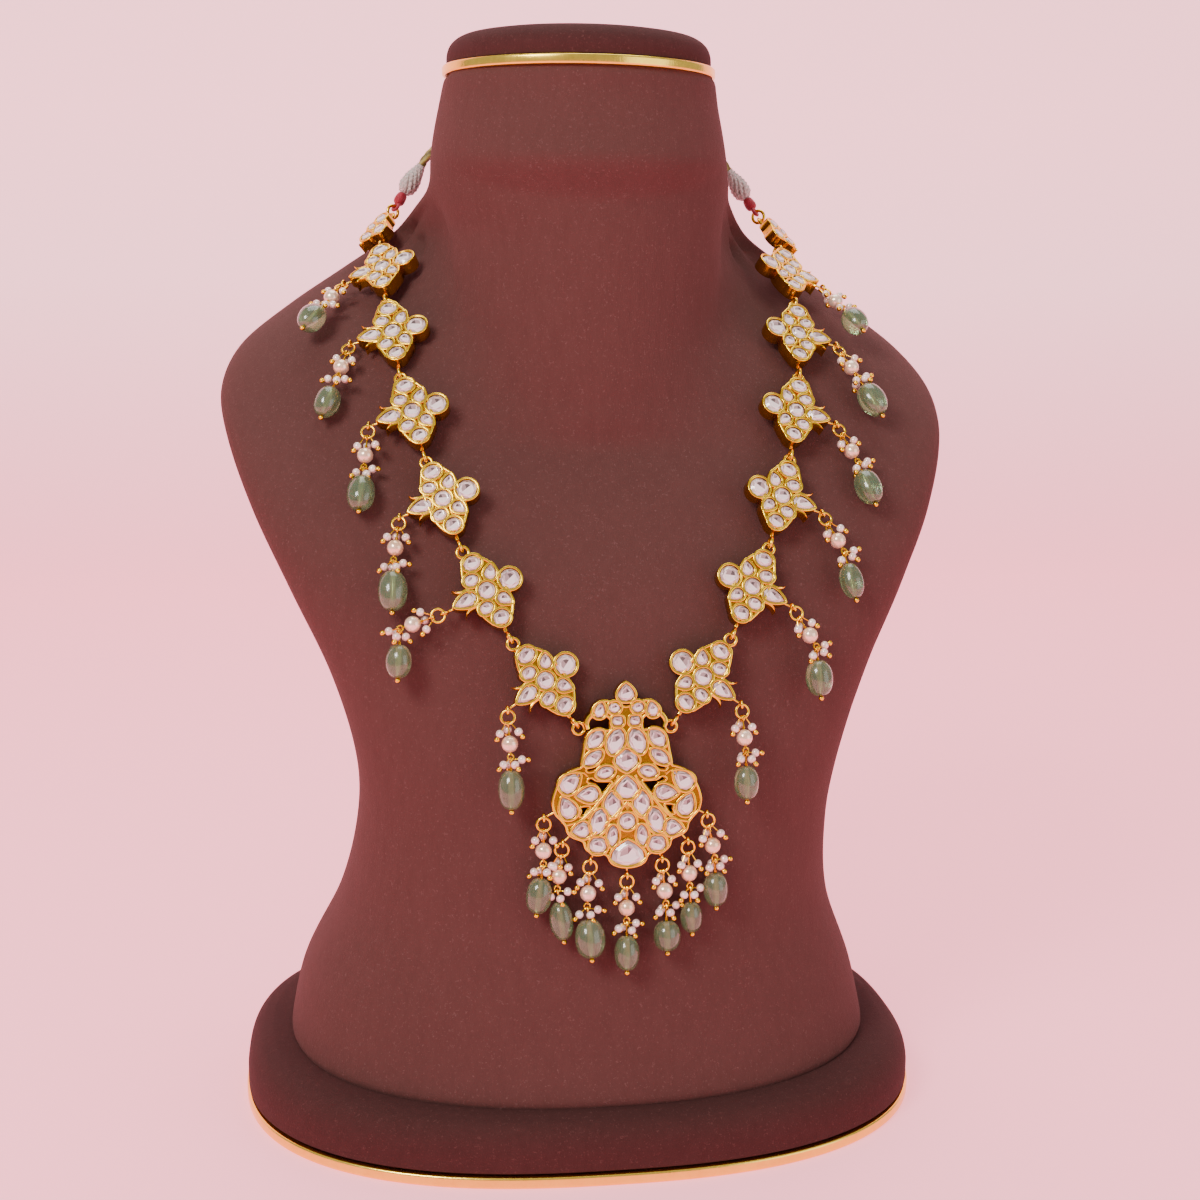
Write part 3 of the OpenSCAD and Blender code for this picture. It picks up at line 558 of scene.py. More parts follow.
class Effects:
    """The shader node groups, each built once and placed in every material that shows it."""

    def __init__(self) -> None:
        """Build the groups."""
        self.grain = self.make_grain()
        self.streaks = self.make_streaks()
        self.twist = self.make_twist()

    def make_grain(self) -> Tree:
        """Return the group for fine uneven grain.

        Two noises, one Fineness times the other's scale, are added and spread about a half.

        Returns:
            The group's tree.
        """
        graph, given, out = new_group(
            "surface grain", {"Vector": "vector", "Scale": 400.0, "Fineness": 4.0, "Spread": 1.0},
            {"Mask": "value", "Height": "value"})
        broad = graph.add("TexNoise", Vector=given["Vector"], Scale=given["Scale"], Detail=3.0)
        fine = graph.add("TexNoise", Vector=given["Vector"], Detail=2.0,
                         Scale=graph.maths("MULTIPLY", given["Scale"], given["Fineness"]))
        total = graph.maths("MULTIPLY", graph.maths("ADD", broad.outputs[0], fine.outputs[0]), 0.5)
        spread = graph.maths("MULTIPLY", graph.maths("SUBTRACT", total, 0.5), given["Spread"])
        graph.feed(out["Mask"], graph.maths("ADD", spread, 0.5, clamp=True))
        graph.feed(out["Height"], fine.outputs[0])
        return graph.tree

    def make_streaks(self) -> Tree:
        """Return the group for streaks along z, as in brushed metal or combed pile.

        The coordinates are squeezed along z by Length before two noises read them.

        Returns:
            The group's tree.
        """
        graph, given, out = new_group(
            "streaks", {"Vector": "vector", "Scale": 300.0, "Length": 0.1, "Spread": 1.0},
            {"Mask": "value", "Height": "value"})
        stretch = graph.add("CombineXYZ", X=1.0, Y=1.0, Z=given["Length"])
        squeezed = graph.add("VectorMath", operation="MULTIPLY")
        graph.feed(squeezed.inputs[0], given["Vector"])
        graph.feed(squeezed.inputs[1], stretch.outputs[0])
        wide = graph.add("TexNoise", Vector=squeezed.outputs[0], Scale=given["Scale"], Detail=2.0)
        fine = graph.add("TexNoise", Vector=squeezed.outputs[0], Detail=4.0,
                         Scale=graph.maths("MULTIPLY", given["Scale"], 5.0))
        total = graph.maths("MULTIPLY", graph.maths("ADD", wide.outputs[0], fine.outputs[0]), 0.5)
        spread = graph.maths("MULTIPLY", graph.maths("SUBTRACT", total, 0.5), given["Spread"])
        graph.feed(out["Mask"], graph.maths("ADD", spread, 0.5, clamp=True))
        graph.feed(out["Height"], fine.outputs[0])
        return graph.tree

    def make_twist(self) -> Tree:
        """Return the group for twisted fibre.

        The piece's UV map runs round it in u and along it in v, in turns. The height is the sine
        of Plies times u plus Turns times v, so that the ridges wind round the piece.

        Returns:
            The group's tree.
        """
        graph, given, out = new_group(
            "twisted fibre", {"Vector": "vector", "Plies": 3.0, "Turns": 1.0, "Fuzz": 0.2},
            {"Mask": "value", "Height": "value"})
        parts = graph.add("SeparateXYZ", Vector=given["Vector"])
        round_ = graph.maths("MULTIPLY", parts.outputs[0], given["Plies"])
        along = graph.maths("MULTIPLY", parts.outputs[1], given["Turns"])
        phase = graph.maths("MULTIPLY", graph.maths("ADD", round_, along), 2 * math.pi)
        wave = graph.maths("SINE", phase, 0.0)
        noise = graph.add("TexNoise", Vector=given["Vector"], Scale=40.0, Detail=2.0)
        fuzz = graph.maths("MULTIPLY", graph.maths("SUBTRACT", noise.outputs[0], 0.5), given["Fuzz"])
        ridge = graph.maths("ADD", graph.maths("MULTIPLY", wave, 0.5), 0.5)
        graph.feed(out["Mask"], graph.maths("ADD", ridge, fuzz, clamp=True))
        graph.feed(out["Height"], ridge)
        return graph.tree


EFFECTS = Effects()


@dataclass
class Surface:
    """A material with its principled shader and its graph, ready for a finish to fill."""

    material: Material
    graph: Graph
    shader: bpy.types.Node
    place: Socket
    map: Socket

    def group(self, tree: Tree, vector: Optional[Socket] = None,
              **values: float) -> bpy.types.Node:
        """Place a group that reads the object's coordinates, or the given vector."""
        vector = self.place if vector is None else vector
        return self.graph.add("Group", node_tree=tree, Vector=vector, **values)

    def feed(self, name: str, value: Socket) -> None:
        """Link a value to the shader's input of that name."""
        self.graph.feed(self.shader.inputs[name], value)

    def bump(self, height: Socket, depth: float, strength: float = 1.0) -> None:
        """Feed a height, whose full range is depth metres, to the shader's normal."""
        node = self.graph.add("Bump", Height=height, Strength=strength, Distance=depth)
        self.feed("Normal", node.outputs[0])

    def tone(self) -> Socket:
        """Return the tone that the mesh keeps for each face."""
        return self.graph.add("Attribute", attribute_name="tone").outputs["Fac"]


def new_surface(name: str, **plain: object) -> Surface:
    """Start a material whose principled shader has the given plain values.

    Args:
        name: the material's name.
        plain: inputs of the shader by name, with spaces written as _.

    Returns:
        The surface to finish.
    """
    material = bpy.data.materials.new(name)
    material.use_nodes = True
    material.node_tree.nodes.clear()
    graph = Graph(material.node_tree)
    shader = graph.add("BsdfPrincipled", **plain)
    output = graph.add("OutputMaterial")
    graph.feed(output.inputs["Surface"], shader.outputs[0])
    coordinates = graph.add("TexCoord")
    return Surface(material, graph, shader, coordinates.outputs["Object"], coordinates.outputs["UV"])


@dataclass(frozen=True)
class Metal:
    """Gold or brass with fine streaks, small colour changes and painted shade in its recesses.

    Attributes:
        name: the material's name.
        bright: colour of the raised parts.
        shade_and_streak: painted shade of the recesses, where the mesh's tone is low, and the colour of the
            dark streaks.
        rough: lowest and highest roughness.
        scale: size of the streaks, in noises to a metre.
        depth: height of the scratches in metres.
    """

    name: str
    bright: Colour
    shade_and_streak: Colour
    rough: tuple[float, float] = (0.2, 0.36)
    scale: float = 500.0
    depth: float = 0.00004

    def material(self) -> Material:
        """Return the material: tone, grain and streaks mix the gold with painted recess shade, and the
        streaks set the gloss.

        Returns:
            The material.
        """
        s = new_surface(self.name, Metallic=1.0, IOR=1.45)
        g = s.graph
        streaks = s.group(EFFECTS.streaks, Scale=self.scale, Length=0.35, Spread=1.6)
        grain = s.group(EFFECTS.grain, Scale=self.scale * 0.5, Fineness=7.0, Spread=1.5)
        lift = g.maths("MULTIPLY", g.maths("SUBTRACT", grain.outputs["Mask"], 0.5), 0.5)
        # Painted shade: a low tone, on walls, pocket beds and sunk ground, darkens the gold.
        share = g.maths("ADD", g.ranged(s.tone(), 0.0, 0.8, 0.0, 1.0), lift, clamp=True)
        colour = g.mixed(share, self.shade_and_streak, self.bright)
        shade = g.mixed(g.ranged(streaks.outputs["Mask"], 0.2, 0.8, 0.16, 0.0), colour, self.shade_and_streak)
        s.feed("Base Color", shade)
        s.feed("Roughness", g.ranged(streaks.outputs["Mask"], 0.1, 0.9, *self.rough))
        s.bump(streaks.outputs["Height"], self.depth, 0.7)
        return s.material


@dataclass(frozen=True)
class Velvet:
    """Short pile: a dark ground, a pale sheen, fine upright streaks and light specks."""

    name: str
    ground: Colour
    lift: Colour
    speck: Colour
    sheen: float = 0.6
    length: float = 0.25

    def material(self) -> Material:
        """Return the material: streaks mix ground and lift, a fine noise picks the specks.

        Returns:
            The material.
        """
        s = new_surface(self.name, Metallic=0.0, Sheen_Weight=self.sheen, Sheen_Roughness=0.4,
                        Sheen_Tint=self.lift, Specular_IOR_Level=0.15)
        g = s.graph
        nap = s.group(EFFECTS.streaks, Scale=380.0, Length=self.length, Spread=1.7)
        pile = s.group(EFFECTS.grain, Scale=900.0, Fineness=3.0, Spread=2.5)
        clouds = s.group(EFFECTS.grain, Scale=14.0, Fineness=2.3, Spread=2.0)
        colour = g.mixed(g.ranged(nap.outputs["Mask"], 0.1, 0.9, 0.3, 0.65), self.ground, self.lift)
        colour = g.mixed(g.ranged(clouds.outputs["Mask"], 0.1, 0.9, 0.0, 0.22), colour, self.ground)
        specks = g.ranged(pile.outputs["Mask"], 0.68, 0.9, 0.0, 0.45)
        s.feed("Base Color", g.mixed(specks, colour, self.speck))
        s.feed("Roughness", g.ranged(pile.outputs["Mask"], 0.0, 1.0, 0.8, 1.0))
        s.bump(g.maths("ADD", pile.outputs["Height"], nap.outputs["Height"]), 0.0005, 0.45)
        return s.material


@dataclass(frozen=True)
class FoiledStone:
    """A flat-cut stone over silver foil, with painted reflections: some facets flash white, some stay grey.
    """

    name: str
    # Painted reflections in the foil: a white flash, a pink one and a dark one.
    flash: Colour
    pink_reflection: Colour
    dark: Colour

    def material(self) -> Material:
        """Return the material: the facet's tone picks its painted reflection, dark, pink or a white flash.

        Returns:
            The material.
        """
        s = new_surface(self.name, Metallic=0.0, Transmission_Weight=0.05, IOR=1.52, Coat_IOR=1.6,
                        Coat_Roughness=0.03, Specular_IOR_Level=0.7)
        g = s.graph
        cloud = s.group(EFFECTS.grain, Scale=500.0, Fineness=3.0, Spread=1.2)
        wobble = g.maths("MULTIPLY", g.maths("SUBTRACT", cloud.outputs["Mask"], 0.5), 0.12)
        tone = g.maths("ADD", s.tone(), wobble, clamp=True)
        # Painted reflections: low tones give the dark and the pink reflection, high tones the white flash.
        low = g.mixed(g.ranged(tone, 0.0, 0.5, 0.0, 1.0), self.dark, self.pink_reflection)
        s.feed("Base Color", g.mixed(g.ranged(tone, 0.5, 0.95, 0.0, 1.0), low, self.flash))
        s.feed("Roughness", g.ranged(cloud.outputs["Mask"], 0.2, 0.8, 0.06, 0.16))
        s.feed("Coat Weight", g.ranged(cloud.outputs["Mask"], 0.0, 1.0, 0.7, 1.0))
        s.bump(cloud.outputs["Height"], 0.00001, 0.3)
        return s.material


@dataclass(frozen=True)
class Nacre:
    """Pearl: a soft cream skin under a clear gloss, with faint bands of colour."""

    name: str
    skin: Colour
    shade: Colour
    scale: float = 260.0
    lustre: float = 0.45

    def material(self) -> Material:
        """Return the material: slow noise mixes skin and shade, and the tone tells pearls apart.

        Returns:
            The material.
        """
        s = new_surface(self.name, Metallic=self.lustre, IOR=1.55, Coat_IOR=1.55, Coat_Roughness=0.04,
                        Specular_IOR_Level=0.6, Sheen_Weight=0.1, Sheen_Roughness=0.3)
        g = s.graph
        bands = s.group(EFFECTS.grain, Scale=self.scale, Fineness=2.2, Spread=2.0)
        share = g.maths("ADD", bands.outputs["Mask"], g.maths("SUBTRACT", s.tone(), 0.5), clamp=True)
        s.feed("Base Color", g.mixed(g.ranged(share, 0.2, 0.8, 0.0, 1.0), self.shade, self.skin))
        s.feed("Roughness", g.ranged(bands.outputs["Mask"], 0.2, 0.8, 0.14, 0.26))
        s.feed("Coat Weight", g.ranged(bands.outputs["Mask"], 0.0, 1.0, 0.6, 0.9))
        s.bump(bands.outputs["Height"], 0.00006, 0.5)
        return s.material


@dataclass(frozen=True)
class GreenStone:
    """Cloudy green bead that lets light through."""

    name: str
    pale: Colour
    full: Colour

    def material(self) -> Material:
        """Return the material: clouds and thin veins mix the pale and the full green.

        Returns:
            The material.
        """
        s = new_surface(self.name, Metallic=0.0, IOR=1.5, Transmission_Weight=0.72, Coat_IOR=1.5,
                        Coat_Roughness=0.04, Subsurface_Weight=0.2, Subsurface_Scale=0.003)
        g = s.graph
        cloud = s.group(EFFECTS.grain, Scale=110.0, Fineness=4.0, Spread=1.0)
        veins = s.group(EFFECTS.streaks, Scale=260.0, Length=0.3, Spread=2.4)
        colour = g.mixed(g.ranged(cloud.outputs["Mask"], 0.2, 0.8, 0.0, 1.0), self.full, self.pale)
        vein = g.ranged(veins.outputs["Mask"], 0.66, 0.85, 0.0, 0.25)
        s.feed("Base Color", g.mixed(vein, colour, self.pale))
        s.feed("Roughness", g.ranged(cloud.outputs["Mask"], 0.2, 0.8, 0.1, 0.24))
        s.feed("Coat Weight", g.ranged(cloud.outputs["Mask"], 0.0, 1.0, 0.4, 0.7))
        s.bump(cloud.outputs["Height"], 0.00008, 0.5)
        return s.material


@dataclass(frozen=True)
class Fibre:
    """Twisted silk or metal thread, patterned along its own UV map, with painted shade in its grooves."""

    name: str
    ridge: Colour
    # Painted shade in the grooves between plies and windings.
    groove_shade: Colour
    plies: float
    turns: float
    metal: float = 0.0
    sheen: float = 0.4
    depth: float = 0.0002

    def material(self) -> Material:
        """Return the material: the twist mixes the ridge colour with painted shade in the grooves,
        and raises the ridges.

        Returns:
            The material.
        """
        s = new_surface(self.name, Metallic=self.metal, Sheen_Weight=self.sheen, Sheen_Roughness=0.35,
                        Specular_IOR_Level=0.4)
        g = s.graph
        twist = s.group(EFFECTS.twist, s.map, Plies=self.plies, Turns=self.turns, Fuzz=0.35)
        grain = s.group(EFFECTS.grain, Scale=1500.0, Fineness=3.0, Spread=2.0)
        fuzz = g.maths("SUBTRACT", grain.outputs["Mask"], 0.5)
        share = g.maths("ADD", twist.outputs["Mask"], fuzz, clamp=True)
        # Painted shade: where the twist runs low, in the grooves, the colour turns to the shade.
        s.feed("Base Color", g.mixed(share, self.groove_shade, self.ridge))
        s.feed("Roughness", g.ranged(grain.outputs["Mask"], 0.0, 1.0, 0.35, 0.6))
        s.bump(twist.outputs["Height"], self.depth, 0.8)
        return s.material


# Assembly: meshes are put into objects, which ride on the model and stand for its solids


class Seen(Enum):
    """How a mesh is shaded: one smooth skin, or flat facets where the shape says so."""

    SMOOTH = 40.0
    CREASED = 25.0


def put(name: str, shape: Shape, finishes: Sequence[Material], replaces: Sequence[str],
        seen: Seen = Seen.SMOOTH, uv: Optional[tuple[Array, Array]] = None) -> bpy.types.Object:
    """Make an object of a shape and say what it stands for.

    Args:
        name: the object's name.
        shape: the mesh, in millimetres.
        finishes: the materials that the faces' finish numbers pick from.
        replaces: the solids that the piece stands for.
        seen: how sharp an edge must be to stay sharp, in degrees.
        uv: for each point its place round the piece and along it, in turns.

    Returns:
        The object.
    """
    mesh = bpy.data.meshes.new(name)
    count, quads, tris = len(shape.points), len(shape.quads), len(shape.tris)
    corners = np.concatenate([shape.quads.ravel(), shape.tris.ravel()]).astype(np.int32)
    sizes = np.concatenate([np.full(quads, 4), np.full(tris, 3)])
    mesh.vertices.add(count)
    mesh.vertices.foreach_set("co", (shape.points * MM).astype(np.float32).ravel())
    mesh.loops.add(len(corners))
    mesh.loops.foreach_set("vertex_index", corners)
    mesh.polygons.add(quads + tris)
    mesh.polygons.foreach_set("loop_start", np.concatenate([[0], np.cumsum(sizes)[:-1]]).astype(np.int32))
    rows = np.vstack([shape.quad_tags, shape.tri_tags])
    mesh.polygons.foreach_set("material_index", rows[:, 0].astype(np.int32))
    mesh.update(calc_edges=True)
    mesh.validate()
    mesh.polygons.foreach_set("use_smooth", rows[:, 2] > 0.5)
    tone = mesh.attributes.new("tone", "FLOAT", "FACE")
    tone.data.foreach_set("value", rows[:, 1].astype(np.float32))
    if uv is not None:
        layer = mesh.uv_layers.new(name="thread")
        pairs = np.column_stack([uv[0][corners], uv[1][corners]]).astype(np.float32)
        layer.data.foreach_set("uv", pairs.ravel())
    mesh.set_sharp_from_angle(angle=math.radians(seen.value))
    for material in finishes:
        mesh.materials.append(material)
    piece = bpy.data.objects.new(name, mesh)
    bpy.context.scene.collection.objects.link(piece)
    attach(piece, "root")
    if replaces:
        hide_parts(*replaces)
    LOG.info("%s: %d faces, in place of %s", name, quads + tris, ", ".join(replaces) or "nothing")
    return piece


def plan(width: float, depth: float, power: float, sides: int) -> Array:
    """Return a superellipse (w/2 cos t, d/2 sin t), each raised to 2 / power with its sign kept.

    Args:
        width: along x.
        depth: along y.
        power: 2 for an ellipse, more for fuller corners.
        sides: how many points.

    Returns:
        Rows of x and y, counterclockwise.
    """
    t = angles(sides)
    return np.column_stack([width / 2 * signed_power(np.cos(t), 2 / power),
                            depth / 2 * signed_power(np.sin(t), 2 / power)])


def rounded_box(inner: float, outer: float, low: float, high: float, radius: float, steps: int = 4) -> Array:
    """Return a rounded rectangle from inner to outer and low to high, counterclockwise.

    Args:
        inner: least distance out.
        outer: greatest distance out.
        low: lowest height.
        high: greatest height.
        radius: of the corners.
        steps: points in a corner.

    Returns:
        Rows of distance out and height.
    """
    t = np.radians(np.linspace(0, 90, steps))
    corner = radius * np.column_stack([np.cos(t), np.sin(t)])
    turn = np.array([[0, 1], [-1, 0]])
    middles = [(outer - radius, high - radius), (inner + radius, high - radius),
               (inner + radius, low + radius), (outer - radius, low + radius)]
    return np.vstack([m + corner @ np.linalg.matrix_power(turn, k) for k, m in enumerate(middles)])


def swept(ring: Array, profile: Array, base: float = 0.0) -> Shape:
    """Return a closed profile carried round a closed flat ring.

    The point for ring point p with outward normal n and profile point (o, z) is p + o n at
    height base + z.

    Args:
        ring: rows of x and y, counterclockwise.
        profile: rows of distance out and height.
        base: height that the profile stands on.

    Returns:
        The closed shape.
    """
    n = outward(ring)
    flat = ring[None] + profile[:, None, :1] * n[None]
    height = np.broadcast_to((base + profile[:, 1])[:, None, None], flat.shape[:2] + (1,))
    points = np.concatenate([flat, height], -1).reshape(-1, 3)
    quads = grid_quads(len(profile), len(ring), wrap_rows=True)
    return Shape(points, quads, np.zeros((0, 3), int), tags(len(quads), 0.8), tags(0))


@dataclass
class NeckBust:
    """Velvet neck form: padded base with gold piping, body, gold neck band and dark cap.

    The body is a stack of sections. In each the velvet's distance from the section's middle is
    (body radius ** blend + neck radius ** blend) ** (1 / blend), where the body is a superellipse
    that is deeper in front than behind and the neck is an ellipse set back by neck_back.
    """

    base_w: float = 247.0
    base_d: float = 195.0
    base_h: float = 22.0
    base_power: float = 2.5
    trim_h: float = 4.0
    trim_t: float = 3.0
    trim_out: float = 0.6
    body_h: float = 345.0
    shoulder_w: float = 268.0
    body_d: float = 172.0
    neck_w: float = 97.0
    neck_d: float = 90.0
    neck_back: float = 22.0
    band_h: float = 3.6
    band_out: float = 0.8
    band_core: float = 4.0
    seam_gap: float = 0.3
    cap_h: float = 11.4
    fill_low: float = 270.0
    fill_high: float = 292.0
    fill_most: float = 15.0
    fill_passes: int = 110
    side_crowding: float = 0.225
    end_crowding: float = 0.035
    curl: float = 1.2
    curl_h: float = 0.9
    body_power: float = 2.3
    blend_power: float = 7.0
    sections: Array = table([
        [0, .805, 0, .505, -.495, 0, 0, 0], [.067, .765, 0, .470, -.450, 0, 0, 0],
        [.153, .673, .035, .440, -.370, .005, 0, 0], [.240, .637, .093, .422, -.300, .012, 0, 0],
        [.313, .647, .140, .405, -.255, .017, 0, 0], [.400, .712, .150, .370, -.233, .019, 0, 0],
        [.487, .816, .128, .313, -.244, .019, 0, 0], [.560, .910, .058, .232, -.280, .020, 0, 0],
        [.632, .985, -.070, .134, -.337, .021, .87, .88], [.678, 1, -.198, .076, -.384, .018, .97, .98],
        [.722, .94, -.29, .01, -.43, .013, 1, 1.01], [.765, .807, -.35, -.09, -.46, .013, 1.03, 1.02],
        [.806, .655, -.37, -.245, -.47, .015, 1.03, 1.02], [.841, .522, -.35, -.275, -.44, .015, 1.03, 1.02],
        [.875, .418, -.24, -.12, -.33, .01, 1.08, 1.02], [.916, .224, -.128, -.012, -.244, .006, 1.11, 1.02],
        [1, .149, -.128, -.012, -.244, .005, 1, 1]])
    base_edge: Array = table([
        [0.25, 0], [0.5, 0], [0.7, 0.04], [0.84, 0.12], [0.94, 0.24], [1, 0.42]])
    cap_edge: Array = table([
        [0, 0.07], [0.35, 0.09], [0.65, 0.23], [0.88, 0.57], [1, 1.14]])

    @property
    def top(self) -> float:
        """Return the height of the body's top."""
        return self.base_h + self.body_h

    def section(self, z: Array) -> list[Array]:
        """Return the seven measures of the sections at heights z.

        Between two rows of the table each measure follows a Hermite cubic whose slope at a row
        is the slope between that row's neighbours.

        Args:
            z: heights in millimetres.

        Returns:
            Half width, widest line, front, back, sway, and the neck's half width and half depth.
        """
        t, v = self.sections, (np.asarray(z, float) - self.base_h) / self.body_h
        i = np.clip(np.searchsorted(t[:, 0], v, side="right") - 1, 0, len(t) - 2)
        h = t[i + 1, 0] - t[i, 0]
        k = np.clip((v - t[i, 0]) / h, 0, 1)
        before, after = np.maximum(np.arange(len(t)) - 1, 0), np.minimum(np.arange(len(t)) + 1, len(t) - 1)
        slopes = (t[after] - t[before]) / (t[after, 0] - t[before, 0])[:, None]
        weights = (2 * k ** 3 - 3 * k ** 2 + 1, (k ** 3 - 2 * k ** 2 + k) * h,
                   3 * k ** 2 - 2 * k ** 3, (k ** 3 - k ** 2) * h)
        s = [weights[0] * t[i, c] + weights[1] * slopes[i, c] + weights[2] * t[i + 1, c]
             + weights[3] * slopes[i + 1, c] for c in range(1, 8)]
        w, d = self.shoulder_w, self.body_d
        return [s[0] * w / 2, s[1] * d, s[2] * d, s[3] * d, s[4] * w,
                np.maximum(s[5] * self.neck_w / 2, 0.01), np.maximum(s[6] * self.neck_d / 2, 0.01)]

    def reach(self, s: list[Array], t: Array) -> Array:
        """Return the velvet's distance from the middle of sections s in the directions t.

        Args:
            s: what section returns.
            t: directions, from the right towards the front.

        Returns:
            The distances.
        """
        cos, sin = np.cos(t), np.sin(t)
        depth = np.where(sin > 0, s[2] - s[1], s[1] - s[3])
        body = ((np.abs(cos) / s[0]) ** self.body_power
                + (np.abs(sin) / depth) ** self.body_power) ** (-1 / self.body_power)
        o = s[1] + self.neck_back
        a = (cos / s[5]) ** 2 + (sin / s[6]) ** 2
        b = sin * o / s[6] ** 2
        d = b ** 2 - a * ((o / s[6]) ** 2 - 1)
        neck = np.where((d > 0) & (s[5] > 1), np.maximum((np.sqrt(np.maximum(d, 0)) - b) / a, 0), 0)
        return (body ** self.blend_power + neck ** self.blend_power) ** (1 / self.blend_power)

    def outside(self, p: Array) -> Array:
        """Return how far the points p are outside the velvet, measured level.

        Args:
            p: rows of places.

        Returns:
            A distance for each, negative inside.
        """
        s = self.section(p[..., 2])
        x, f = p[..., 0] - s[4], -p[..., 1] - s[1]
        return np.hypot(x, f) - self.reach(s, np.arctan2(f, x))

    def steepness(self, p: Array) -> Array:
        """Return the slope of outside at p, which points away from the velvet."""
        step = 0.5 * np.eye(3)
        return np.stack([self.outside(p + e) - self.outside(p - e) for e in step], -1)

    def seated(self, p: Array, h: float) -> Array:
        """Return p moved straight out of or into the velvet until it is h from it.

        Args:
            p: the places.
            h: distance from the velvet.

        Returns:
            The moved places.
        """
        for _ in range(2):
            g = self.steepness(p)
            p = p + ((h - self.outside(p) / np.linalg.norm(g, axis=-1)))[..., None] * unit(g)
        return p

    def softened(self, r: Array, z: Array, t: Array) -> Array:
        """Return radii whose hollow between neck and shoulders is filled like padding.

        Each pass mixes a radius half and half with its neighbours', round the section and then
        up it. Above fill_low the radius rises to the smoothed one where that is larger, by at
        most fill_most and never past the section's half width.

        Args:
            r: radii, a row for each height and a column for each direction.
            z: the heights.
            t: the directions.

        Returns:
            The new radii.
        """
        soft = r.copy()
        for _ in range(self.fill_passes):
            soft = 0.5 * soft + 0.25 * (np.roll(soft, 1, 1) + np.roll(soft, -1, 1))
            tall = np.vstack([soft[:1], soft, soft[-1:]])
            soft = 0.5 * soft + 0.25 * (tall[:-2] + tall[2:])
        share = np.clip((z - self.fill_low) / (self.fill_high - self.fill_low), 0, 1)[:, None]
        share = share ** 2 * (3 - 2 * share)
        across = np.abs(np.cos(t))
        side = 0.985 * np.max(r * across, axis=1, keepdims=True) / np.maximum(across, 0.05)
        return np.minimum(r + share * np.clip(soft - r, 0, self.fill_most), np.maximum(side, r))

    def body(self, rows: int = 190, cols: int = 280) -> Shape:
        """Return the body's skin.

        The point at height z and angle t is (sway + r cos t, -widest - r sin t, z). The angles
        crowd towards the two sides, and the last rows at both ends curl in by a millimetre.

        Args:
            rows: number of sections.
            cols: points round each.

        Returns:
            The closed shape.
        """
        u = angles(cols)
        t = np.pi / 2 - (u + self.side_crowding * np.sin(2 * (u - np.pi / 2)))
        level = np.linspace(0, 1, rows)
        z = self.base_h + self.body_h * (level - self.end_crowding * np.sin(2 * np.pi * level))
        s = [v[:, None] for v in self.section(z)]
        r = self.softened(self.reach(s, t[None, :]), z, t[None, :])
        near = np.exp(-(z - self.base_h) / self.curl_h) + np.exp(-(self.top - z) / self.curl_h)
        r = r - self.curl * near[:, None]
        rings = np.stack([s[4] + r * np.cos(t), -s[1] - r * np.sin(t), np.repeat(z[:, None], cols, 1)], -1)
        return lofted(rings[:, ::-1])

    def neck_plan(self, out: float, sides: int = 144) -> Array:
        """Return the ellipse round the neck's axis that is out outside the neck."""
        middle = [self.sections[-1, 5] * self.shoulder_w, self.neck_back]
        return plan(self.neck_w + 2 * out, self.neck_d + 2 * out, 2, sides) + middle

    def base(self, sides: int = 260) -> Shape:
        """Return the padded base: the plan drawn in by a smooth profile, softly crowned.

        Args:
            sides: points round it.

        Returns:
            The closed shape.
        """
        inner = self.trim_t - self.trim_out + self.seam_gap
        edge = self.base_h * curved(self.base_edge, 6, closed=False)
        edge[:, 1] = np.maximum(edge[:, 1], 0)
        foot = np.array([[0, inner], [self.trim_h + self.seam_gap, inner], [self.trim_h + 0.5, inner * 0.5]])
        flat = np.column_stack([np.full(12, self.base_h), np.linspace(edge[-1, 1] + 2, 88, 12)])
        rows = np.vstack([foot, edge, flat])
        plans = [plan(self.base_w - 2 * inset, self.base_d - 2 * inset, self.base_power, sides)
                 for inset in rows[:, 1]]
        return lofted(np.stack([np.column_stack([p, np.full(sides, z)]) for p, z in zip(plans, rows[:, 0])]))

    def piping(self) -> Shape:
        """Return the gold strip round the foot, a rounded bar carried round the base's plan."""
        ring = evened(plan(self.base_w, self.base_d, self.base_power, 600), 360)
        return swept(ring, rounded_box(self.trim_out - self.trim_t, self.trim_out, 0, self.trim_h, 0.9, 5))

    def band(self) -> Shape:
        """Return the gold strip round the neck's top, a rounded bar carried round the ellipse."""
        profile = rounded_box(-self.band_core, self.band_out, 0, self.band_h, 0.9, 5)
        return swept(self.neck_plan(0), profile, self.top)

    def cap(self) -> Shape:
        """Return the domed cap above the band, with a plug that fills the band.

        Returns:
            The closed shape.
        """
        plug = self.band_core + self.seam_gap
        first = self.band_h + self.seam_gap
        edge = curved(self.cap_edge, 6, closed=False) * [self.cap_h - self.seam_gap, self.cap_h]
        dome = np.column_stack([np.full(6, self.cap_h - self.seam_gap), np.linspace(edge[-1, 1] + 3, 40, 6)])
        rows = np.vstack([[[0, plug], [first, plug]], np.vstack([edge, dome]) + [first, 0]])
        rings = np.stack([np.column_stack([self.neck_plan(-inset), np.full(144, self.top + z)])
                          for z, inset in rows])
        return lofted(rings)

    def build(self, finishes: "Finishes") -> None:
        """Make the bust's pieces and dress them.

        Args:
            finishes: the model's materials.
        """
        put("velvet_body", self.body(), [finishes.velvet], ["bust_body"])
        base = put("padded_base", self.base(), [finishes.dark_velvet], ["bust_base"])
        put("foot_piping", self.piping().tagged(tone=0.75), [finishes.brass], ["base_trim"])
        put("neck_strip", self.band().tagged(tone=0.75), [finishes.brass], ["neck_band"])
        put("neck_top", self.cap(), [finishes.dark_velvet], ["neck_cap"])


# Gold settings and their stones


class Cut(Enum):
    """Outline of a stone: the power of its rounded form, or a drop or a leaf."""

    OVAL = 2.0
    LOZENGE = 1.4
    CUSHION = 2.4
    SQUARE = 4.0
    DROP = -1.0
    LEAF = -2.0


